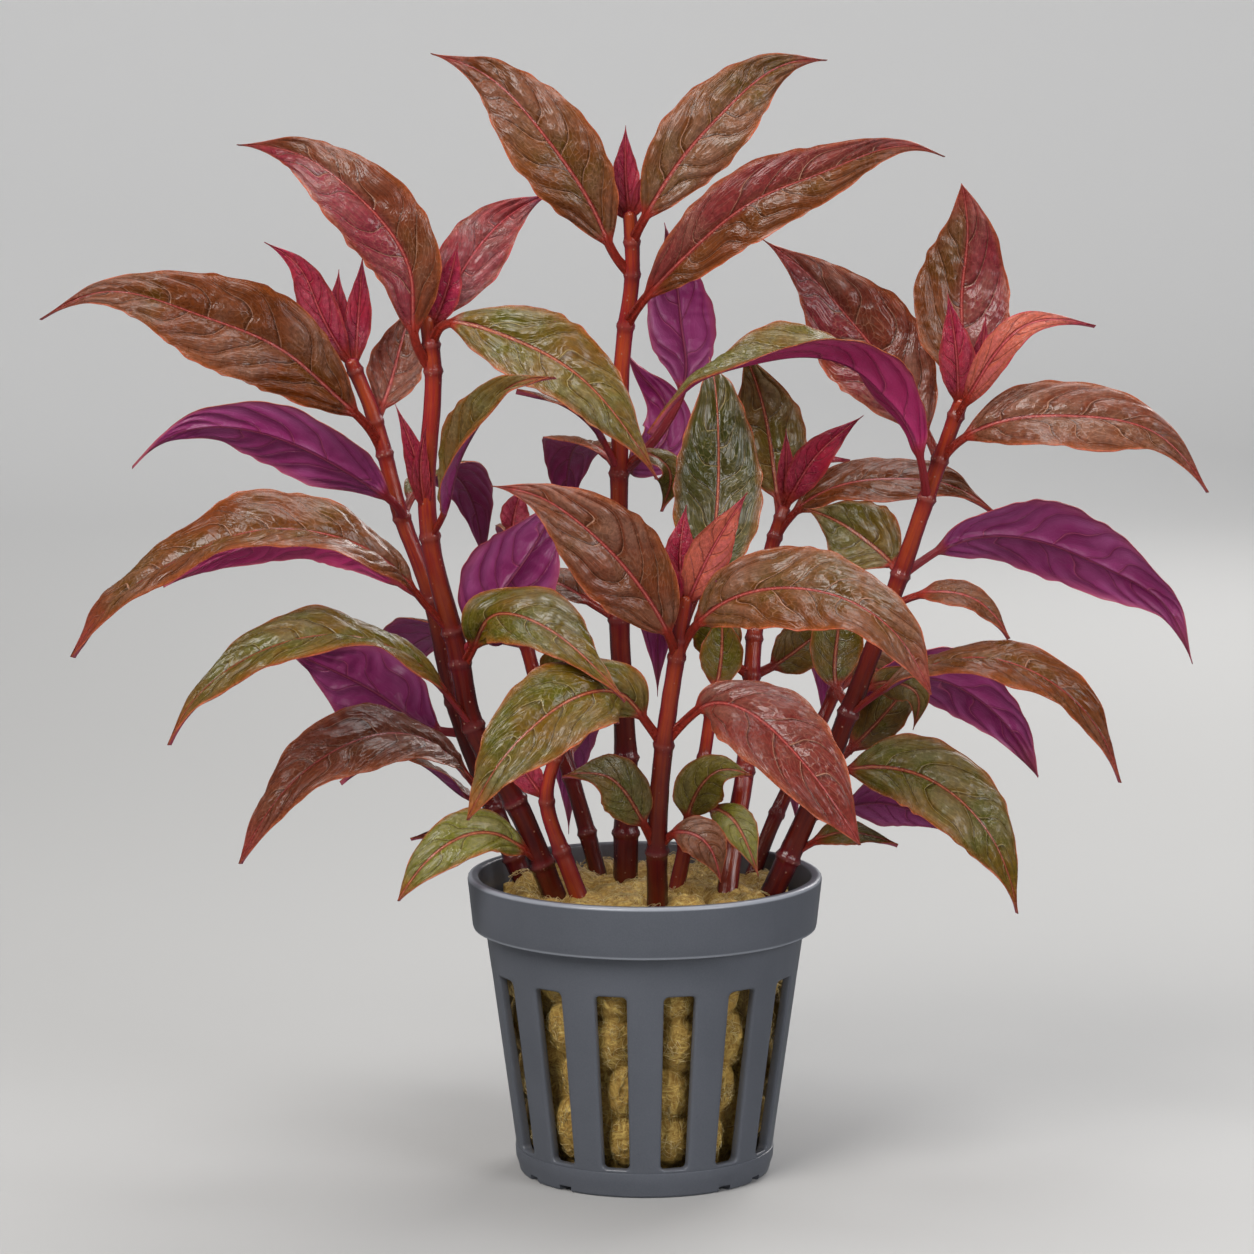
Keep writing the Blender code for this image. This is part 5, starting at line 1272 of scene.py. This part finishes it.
def stem_finish(groups):
    """Glossy stem: orange red above, dark maroon below, crimson flanks painted darker as shade where the stem
    turns away, streaks and pale specks at joints.
    """
    finish, sheet, shader = new_finish("stem_red", (0.3, 0.04, 0.02))
    age, ring, near_joint, _ = sheet.marks()
    around, down, _ = sheet.apart(sheet.map("place"))
    drawn_out = sheet.together(sheet.times(around, 9.0), sheet.times(down, 0.30))
    streaks = sheet.noise(drawn_out, 1.6, 4.0, 0.65)
    place = sheet.object_place()
    flecks = sheet.group(groups["flecks"], Place=place, Patch_Scale=120.0, Grain_Scale=1300.0)
    older = sheet.rise(age, 0.30, 1.0)
    tone = sheet.blend(older, (0.38, 0.036, 0.010), (0.085, 0.007, 0.004))
    crimson = sheet.blend(older, (0.23, 0.005, 0.024), (0.042, 0.003, 0.005))
    warm = sheet.blend(older, (0.46, 0.110, 0.020), (0.15, 0.022, 0.006))
    # Painted shade: the flanks, where the stem turns away from the eye, are darkened to crimson
    facing_shade = sheet.node("ShaderNodeLayerWeight", None, Blend=0.45).outputs["Facing"]
    specks = sheet.node("ShaderNodeTexVoronoi", {"feature": 'F1'}, Vector=place, Scale=1500.0)
    speck = sheet.rise(specks.outputs["Distance"], 0.12, 0.30, 1.0, 0.0)
    dots = sheet.node("ShaderNodeTexVoronoi", {"feature": 'F1'}, Vector=place, Scale=650.0)
    dot = sheet.rise(dots.outputs["Distance"], 0.05, 0.13, 0.55, 0.0)
    colour = sheet.layers(
        tone,
        (sheet.rise(streaks, 0.40, 0.66), 0.8, crimson),
        (flecks["Patches"], 0.35, warm),
        (sheet.rise(facing_shade, 0.12, 0.55), 0.95, crimson),
        (near_joint, 0.55, (0.12, 0.006, 0.012)),
        (ring, sheet.times(speck, 0.7, 0.15), (0.46, 0.24, 0.20)),
        (dot, 1.0, (0.42, 0.20, 0.12)))
    sheet.put(colour, shader["Base Color"])
    sheet.put(sheet.times(flecks["Grain"], 0.16, 0.12), shader["Roughness"])
    height = sheet.sum_of((streaks, 0.9), (flecks["Grain"], 0.12), (dot, 0.5))
    sheet.put(sheet.bump(height, 0.16 * MM), shader["Normal"])
    return finish


def pot_finish(groups):
    """Satin slate grey plastic with a fine mould texture, and painted highlights along the lip's outer edge
    and the band's lower edge.
    """
    finish, sheet, shader = new_finish("pot_plastic", (0.12, 0.13, 0.16))
    place = sheet.object_place()
    flecks = sheet.group(groups["flecks"], Place=place, Patch_Scale=60.0, Grain_Scale=4200.0)
    colour = sheet.blend(flecks["Patches"], (0.088, 0.096, 0.114), (0.098, 0.106, 0.126))
    colour = sheet.blend(sheet.rise(flecks["Grain"], 0.35, 0.75, 0.0, 0.30), colour, (0.13, 0.14, 0.162))
    x, y, height = sheet.apart(place)
    square = sheet.times(x, x, sheet.times(y, y))
    off_centre = sheet.math('SQRT', square)
    # Painted highlights: a pale line along the lip's outer edge and along the band's lower edge
    lip_highlight = sheet.rise(height, (POT_HEIGHT - 0.65) * MM, (POT_HEIGHT - 0.30) * MM)
    outside = sheet.rise(off_centre, (RIM_RADIUS - 0.9) * MM, (RIM_RADIUS - 0.4) * MM)
    lip_highlight = sheet.times(lip_highlight, outside)
    from_foot = sheet.math('ABSOLUTE', sheet.math('SUBTRACT', height, (POT_HEIGHT - BAND_HEIGHT + 0.15) * MM))
    foot = sheet.rise(from_foot, 0.10 * MM, 0.40 * MM, 0.6, 0.0)
    colour = sheet.blend(sheet.math('MAXIMUM', lip_highlight, foot), colour, (0.30, 0.32, 0.36))
    sheet.put(colour, shader["Base Color"])
    sheet.put(sheet.times(flecks["Grain"], 0.14, 0.24), shader["Roughness"])
    sheet.put(sheet.bump(flecks["Grain"], 0.02 * MM), shader["Normal"])
    return finish


def wool_finish(groups, name, dark, light, gloss):
    """Matted yellow-tan fibres, with painted amber shade in the gaps between them."""
    finish, sheet, shader = new_finish(name, light)
    place = sheet.object_place()
    flecks = sheet.group(groups["flecks"], Place=place, Patch_Scale=220.0, Grain_Scale=2600.0)
    drift = sheet.node("ShaderNodeTexNoise", None, Vector=place, Scale=150.0, Detail=2.0).outputs["Color"]
    pull = sheet.node("ShaderNodeVectorMath", {"operation": 'MULTIPLY_ADD'}, Vector=drift)
    pull.inputs[1].default_value = (WOOL_SWIRL * MM,) * 3
    sheet.put(place, pull.inputs[2])
    pulled = pull.outputs[0]
    strands = sheet.noise(sheet.stretched(pulled, (2.6, 2.6, 0.5)), 900.0, 4.0, 0.7)
    crossing = sheet.noise(sheet.stretched(pulled, (0.5, 0.5, 2.6)), 1000.0, 4.0, 0.7)
    mat = sheet.math('MAXIMUM', strands, crossing)
    # Painted shade: the darker amber tone falls in the gaps between the strands
    colour = sheet.blend(sheet.rise(mat, 0.42, 0.72), dark, light)
    colour = sheet.blend(sheet.times(flecks["Patches"], 0.5), colour, (0.42, 0.24, 0.045))
    sheet.put(colour, shader["Base Color"])
    sheet.put(sheet.times(flecks["Grain"], 0.2, gloss), shader["Roughness"])
    sheet.put(sheet.bump(mat, 0.45 * MM), shader["Normal"])
    return finish


# Mineral wool form

def wool_lumps(rng):
    """Middles and half sizes of the lumps behind the slots, as (angle, height, half width, half height)."""
    lumps = []
    for turn in SLOT_TURNS:
        height = SIDE_LUMPS_FOOT + rng.uniform(-1.5, 1.5)
        while height < SIDE_LUMPS_TOP:
            half_high = rng.uniform(*SIDE_LUMP_HALF_HEIGHT)
            shift = rng.uniform(-0.5, 0.5) * SLOT_PITCH * SIDE_LUMP_SHIFT
            half_wide = rng.uniform(*SIDE_LUMP_HALF_WIDTH)
            lumps.append((turn + shift, height + half_high * 0.8, half_wide, half_high))
            height += half_high * SIDE_LUMP_STEP
    return np.array(lumps)


def top_lumps(rng):
    """Middles and half sizes of the lumps on top, as (x, y, half width)."""
    lumps = []
    for ring, (radius, count) in enumerate(TOP_LUMP_RINGS):
        for i in range(count):
            angle = math.tau * (i + 0.5 * ring) / count + rng.uniform(-0.15, 0.15)
            reach = radius + rng.uniform(-1.2, 1.2)
            half = rng.uniform(*TOP_LUMP_HALF_WIDTH)
            lumps.append((reach * math.cos(angle), reach * math.sin(angle), half))
    return np.array(lumps)


class WoolPlug:
    """The wool's surface: a plug with lumps behind the slots and on its top."""

    def __init__(self):
        rng = np.random.default_rng(WOOL_SEED)
        self.side = wool_lumps(rng)
        self.top = top_lumps(rng)
        self.ripple = rise_and_fall(rng, 14, 4.0, 0.9)
        self.swirl = rise_and_fall(rng, 10, 9.0, 3.0)

    def side_point(self, angle, height):
        """A point of the side at an angle and a height."""
        wall = pot_inner_radius(height) - WOOL_CLEARANCE
        best = np.zeros(np.broadcast(angle, height).shape)
        for turn, middle, half_wide, half_high in self.side:
            apart = (angle - turn + math.pi) % math.tau - math.pi
            far = (apart * wall / half_wide) ** 2 + ((height - middle) / half_high) ** 2
            best = np.maximum(best, np.sqrt(np.clip(1 - far, 0, 1)))
        rough = self.ripple(angle * 20, height + self.swirl(angle * 20, height))
        radius = wall - SIDE_LUMP_DEPTH * (1 - best) + WOOL_ROUGHNESS * rough * (0.4 + best)
        radius = np.minimum(radius, wall + SIDE_LUMP_BULGE)
        return round_axis(radius, angle, height)

    def top_point(self, x, y):
        """A point of the top."""
        best = np.zeros(np.broadcast(x, y).shape)
        for middle_x, middle_y, half in self.top:
            far = ((x - middle_x) ** 2 + (y - middle_y) ** 2) / half ** 2
            best = np.maximum(best, np.sqrt(np.clip(1 - far, 0, 1)))
        rough = self.ripple(x, y + self.swirl(x, y))
        height = WOOL_TOP - TOP_LUMP_FOOT + TOP_LUMP_RISE * best + WOOL_ROUGHNESS * rough
        return np.stack([x + 0 * y, y + 0 * x, height], axis=-1)


def mineral_wool(plug, finish):
    """The lumpy plug as one closed skin: bottom, side and top."""
    columns = WOOL_COLUMNS
    angle = np.linspace(0, math.tau, columns, endpoint=False)[None, :]
    edge_height = WOOL_TOP - WOOL_EDGE_DROP
    heights = np.linspace(FLOOR + WOOL_CLEARANCE, edge_height, WOOL_SIDE_ROWS)[:, None]
    side = plug.side_point(angle, heights)
    edge = np.linalg.norm(side[-1, :, :2], axis=1)[None, :]
    shrink = np.linspace(1, 0.03, WOOL_TOP_RINGS)[1:, None]
    reach = edge * shrink
    crown = plug.top_point(reach * np.cos(angle), reach * np.sin(angle))
    rise = smooth_step(1.0, 0.86, shrink)[:, :, None] * np.array([0, 0, 1.0])
    level = crown.copy()
    level[:, :, 2] = edge_height
    crown = level + (crown - level) * (rise + np.array([1.0, 1.0, 0.0]))
    points = np.concatenate([side.reshape(-1, 3), crown.reshape(-1, 3)])
    rows = len(points) // columns
    faces = tube_faces(rows, columns)
    faces.append(list(reversed(range(columns))))
    faces.append([(rows - 1) * columns + i for i in range(columns)])
    return mesh_piece("mineral_wool_lumps", points, faces, [finish])


def wool_fibres(plug, finish):
    """Loose fibres that lie over the lumps and stand off them a little, as thin three-sided strands."""
    rng = np.random.default_rng(FIBRE_SEED)
    strands = []
    lowest, highest = SIDE_FIBRE_HEIGHTS

    def lifted(line, outward):
        lift = 0.05 + rng.uniform(0.0, FIBRE_LIFT) * np.sin(np.linspace(0, math.pi, FIBRE_POINTS))
        strands.append(line + outward * lift[:, None])

    for slot_turn in SLOT_TURNS:
        for _ in range(SLOT_FIBRES):
            angle = slot_turn + rng.uniform(-0.5, 0.5) * SLOT_PITCH * SIDE_FIBRE_SPREAD
            height = rng.uniform(SLOT_FOOT, SLOT_TOP)
            heading = rng.uniform(0, math.tau)
            curl = rng.uniform(-FIBRE_CURL, FIBRE_CURL)
            reach = rng.uniform(*SIDE_FIBRE_STEP)
            line = []
            for _ in range(FIBRE_POINTS):
                line.append(plug.side_point(np.array(angle), np.array(height)))
                angle += math.cos(heading) * reach / SIDE_FIBRE_RADIUS
                height = min(max(height + math.sin(heading) * reach, lowest), highest)
                heading += curl * FIBRE_TURN
            lifted(np.array(line), unit(np.array(line) * (1, 1, 0)))
    for _ in range(TOP_FIBRES):
        radius = TOP_FIBRES_REACH * math.sqrt(rng.uniform(0, 1))
        turn = rng.uniform(0, math.tau)
        x = radius * math.cos(turn)
        y = radius * math.sin(turn)
        heading = rng.uniform(0, math.tau)
        curl = rng.uniform(-FIBRE_CURL, FIBRE_CURL)
        reach = rng.uniform(*TOP_FIBRE_STEP)
        line = []
        while len(line) < FIBRE_POINTS and math.hypot(x, y) <= TOP_FIBRES_REACH + 0.2:
            line.append(plug.top_point(np.array(x), np.array(y)))
            x += math.cos(heading) * reach
            y += math.sin(heading) * reach
            heading += curl * FIBRE_TURN
        if len(line) == FIBRE_POINTS:
            lifted(np.array(line), np.array([0, 0, 1]))

    points = []
    faces = []
    for line in strands:
        thick = rng.uniform(*FIBRE_RADIUS)
        start = len(points)
        ways = unit(np.gradient(line, axis=0) + 1e-9)
        side = unit(np.cross(ways, (0.31, 0.22, 0.92)))
        other = np.cross(ways, side)
        for place, a, b in zip(line, side, other):
            for corner in range(3):
                turn = math.tau * corner / 3
                points.append(place + thick * (math.cos(turn) * a + math.sin(turn) * b))
        faces += tube_faces(len(line), 3, start)
        faces.append([start + 2, start + 1, start])
        end = start + (len(line) - 1) * 3
        faces.append([end, end + 1, end + 2])
    return mesh_piece("mineral_wool_fibres", points, faces, [finish])


# Building

def shows_underside(shape):
    """Whether a leaf turns its underside to the front of the plant."""
    return sum(face[1] for face in shape["faces"]) > 0


def stand_in(item, node):
    """Hangs a piece on the plant's one body, in place of a solid, which it hides."""
    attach(item, "root")
    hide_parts(node)


def build_leaves(finishes):
    """Every leaf with a stalk of its own, in place of its solid."""
    for index, shape in enumerate(LEAVES):
        form = LeafForm(shape, LEAF_SEED + index, LEAF_ROWS)
        fine_below = shows_underside(shape)
        columns = (COARSE_COLUMNS, FINE_COLUMNS) if fine_below else (FINE_COLUMNS, COARSE_COLUMNS)
        points, faces, low_side, place, measure, marks = form.skin(*columns)
        item = mesh_piece(shape["name"] + "_veined", points, faces,
                          [finishes[shape["tone"]], finishes["under"]], low_side,
                          {"place": place, "measure": measure}, marks)
        stand_in(item, shape["name"])


def build_stems(finishes):
    """Every stem with its ribs and joints, and its small leaves as a piece beside it."""
    for name in STEMS:
        points, faces, place, marks = stem_form(name)
        item = mesh_piece(name + "_jointed", points, faces, [finishes["stem"]],
                          maps={"place": place}, marks=marks)
        stand_in(item, name)
        build_small_leaves(name, finishes)


def build_small_leaves(stem, finishes):
    """The small leaves and the shoot tip of one stem, as one piece."""
    tones = ["young", "olive", "bronze", "under", "young_under"]
    faces = []
    face_finish = []
    skins = []
    count = 0
    for index, shape in enumerate(SMALL_LEAVES):
        if shape["stem"] != stem:
            continue
        bud = shape["tone"] == "young"
        if bud:
            shape = dict(shape, fold=BUD_FOLD)
        form = LeafForm(shape, SMALL_LEAF_SEED + index, SMALL_ROWS, small=True)
        points, leaf_faces, low_side, *maps = form.skin(SMALL_COLUMNS, SMALL_COLUMNS)
        faces += [[count + i for i in face] for face in leaf_faces]
        upper = tones.index(shape["tone"])
        lower = tones.index("young_under" if bud else "under")
        face_finish += [lower if low else upper for low in low_side]
        skins.append((points, *maps))
        count += len(points)
    points, place, measure, marks = (np.concatenate(rows) for rows in zip(*skins))
    item = mesh_piece(stem + "_small_leaves", points, faces, [finishes[tone] for tone in tones],
                      face_finish, {"place": place, "measure": measure}, marks)
    stand_in(item, stem)


def build_pot(finishes):
    """The finer pot, in place of its solid."""
    stand_in(net_pot(finishes["pot"]), "net_pot")


def build_wool(finishes):
    """The lumpy wool and its loose fibres, in place of the plain plug."""
    plug = WoolPlug()
    stand_in(mineral_wool(plug, finishes["wool"]), "mineral_wool")
    stand_in(wool_fibres(plug, finishes["fibre"]), "mineral_wool")


def make_finishes():
    """Every finish, with the node groups that they share."""
    groups = {"veins": leaf_veins_group(), "flecks": flecks_group()}
    salmon = (0.52, 0.115, 0.052)
    upper = {
        "bronze": dict(brown=(0.108, 0.023, 0.001), green_tone=(0.080, 0.044, 0.0005),
                       pink_tone=(0.21, 0.012, 0.034), vein_tone=(0.38, 0.19, 0.12),
                       midrib_pink_and_highlight=(0.50, 0.12, 0.095), painted_sheen_tone=(0.27, 0.145, 0.100), margin_tone=salmon,
                       tip_tone=(0.34, 0.035, 0.028)),
        "olive": dict(brown=(0.115, 0.043, 0.001), green_tone=(0.076, 0.071, 0.0005),
                      pink_tone=(0.21, 0.012, 0.034), vein_tone=(0.36, 0.28, 0.12),
                      midrib_pink_and_highlight=(0.50, 0.20, 0.08), painted_sheen_tone=(0.24, 0.205, 0.115), margin_tone=salmon,
                      tip_tone=(0.38, 0.085, 0.012)),
        "young": dict(brown=(0.26, 0.005, 0.036), green_tone=(0.17, 0.050, 0.044),
                      pink_tone=(0.46, 0.105, 0.050), vein_tone=(0.60, 0.17, 0.16),
                      midrib_pink_and_highlight=(0.58, 0.10, 0.12), painted_sheen_tone=(0.42, 0.09, 0.13),
                      margin_tone=(0.56, 0.045, 0.075), tip_tone=(0.34, 0.006, 0.12)),
    }
    finishes = {tone: leaf_upper_finish("leaf_" + tone, groups, **tones) for tone, tones in upper.items()}
    finishes.update({
        "under": leaf_under_finish("leaf_underside", groups, base=(0.205, 0.012, 0.095),
                                   light=(0.34, 0.070, 0.215), dark=(0.110, 0.003, 0.030),
                                   blush_tone=(0.42, 0.012, 0.085), margin_tone=(0.46, 0.085, 0.13),
                                   tip_tone=(0.25, 0.035, 0.025)),
        "young_under": leaf_under_finish("young_underside", groups, base=(0.34, 0.015, 0.045),
                                         light=(0.50, 0.09, 0.10), dark=(0.20, 0.004, 0.025),
                                         blush_tone=(0.40, 0.05, 0.05), margin_tone=(0.60, 0.12, 0.12),
                                         tip_tone=(0.36, 0.006, 0.10)),
        "stem": stem_finish(groups),
        "pot": pot_finish(groups),
        "wool": wool_finish(groups, "wool_mat", (0.24, 0.120, 0.012), (0.72, 0.53, 0.15), 0.60),
        "fibre": wool_finish(groups, "wool_fibre", (0.58, 0.42, 0.14), (0.90, 0.80, 0.48), 0.42),
    })
    return finishes


# Studio, in metres

FLOOR_HALF_WIDTH = 3.0
FLOOR_FRONT = -2.5
FLOOR_BACK = 0.9
WALL_BEND = 0.6
WALL_TOP = 3.0
PLANT_MIDDLE = (0, 0, 0.1)

# Soft lights: place, width, power and colour
SOFTBOXES = {
    "key": ((-0.42, -0.60, 0.72), 0.46, 8.0, (1.0, 0.97, 0.94)),
    "fill": ((0.60, -0.58, 0.45), 0.42, 3.6, (0.98, 0.98, 1.0)),
    "top": ((0.05, 0.12, 0.80), 0.46, 3.2, (1.0, 1.0, 1.0)),
    "back": ((0.35, 0.66, 0.50), 0.40, 3.0, (1.0, 0.98, 0.96)),
}


def studio():
    """The camera where the plant was measured from, a pale floor and soft lights."""
    scene = bpy.context.scene
    camera = bpy.data.objects.new("camera", bpy.data.cameras.new("camera"))
    camera.location = (EYE_X * MM, -EYE_DISTANCE * MM, EYE_Z * MM)
    camera.rotation_euler = (math.pi / 2 - EYE_TILT, 0, 0)
    camera.data.sensor_width = SENSOR_MM
    camera.data.lens = LENS_MM
    camera.data.clip_start = 0.01
    scene.collection.objects.link(camera)
    scene.camera = camera

    floor = bpy.data.objects.new("floor", bpy.data.meshes.new("floor"))
    outline = [(FLOOR_FRONT, 0.0), (FLOOR_BACK, 0.0)]
    outline += [(FLOOR_BACK + WALL_BEND * math.sin(turn), WALL_BEND - WALL_BEND * math.cos(turn))
                for turn in np.linspace(0.08, math.pi / 2, 20)]
    outline.append((FLOOR_BACK + WALL_BEND, WALL_TOP))
    points = [(x, y, z) for y, z in outline for x in (-FLOOR_HALF_WIDTH, FLOOR_HALF_WIDTH)]
    faces = [(2 * i, 2 * i + 1, 2 * i + 3, 2 * i + 2) for i in range(len(outline) - 1)]
    floor.data.from_pydata(points, [], faces)
    floor.data.shade_smooth()
    scene.collection.objects.link(floor)
    finish, sheet, shader = new_finish("floor_pale", (0.75, 0.75, 0.74))
    _, behind, _ = sheet.apart(sheet.object_place())
    wall = sheet.rise(behind, 0.25, 1.5)
    sheet.put(sheet.blend(wall, (0.42, 0.42, 0.415), (0.80, 0.80, 0.795)), shader["Base Color"])
    # Painted light: the backdrop glows a little towards the wall, an emission from no lamp
    sheet.put(sheet.blend(wall, (0.0, 0.0, 0.0), (0.20, 0.20, 0.20)), shader["Emission Color"])
    shader["Emission Strength"].default_value = 1.0
    shader["Roughness"].default_value = 0.7
    floor.data.materials.append(finish)
    floor.visible_glossy = False

    world = bpy.data.worlds.new("studio")
    scene.world = world
    world.use_nodes = True
    background = world.node_tree.nodes["Background"]
    background.inputs["Color"].default_value = (0.90, 0.92, 0.96, 1.0)
    background.inputs["Strength"].default_value = 0.16
    scene.view_settings.view_transform = 'Standard'

    for name, values in SOFTBOXES.items():
        softbox(name, *values)


def softbox(name, place, size, power, colour):
    """A square soft light that looks at the middle of the plant."""
    light = bpy.data.lights.new(name, 'AREA')
    light.shape = 'SQUARE'
    light.size = size
    light.energy = power
    light.color = colour
    item = bpy.data.objects.new(name, light)
    item.location = place
    aim = Vector(PLANT_MIDDLE) - Vector(place)
    item.rotation_euler = aim.to_track_quat('-Z', 'Y').to_euler()
    bpy.context.scene.collection.objects.link(item)


finishes = make_finishes()
studio()
build_pot(finishes)
build_wool(finishes)
build_stems(finishes)
build_leaves(finishes)
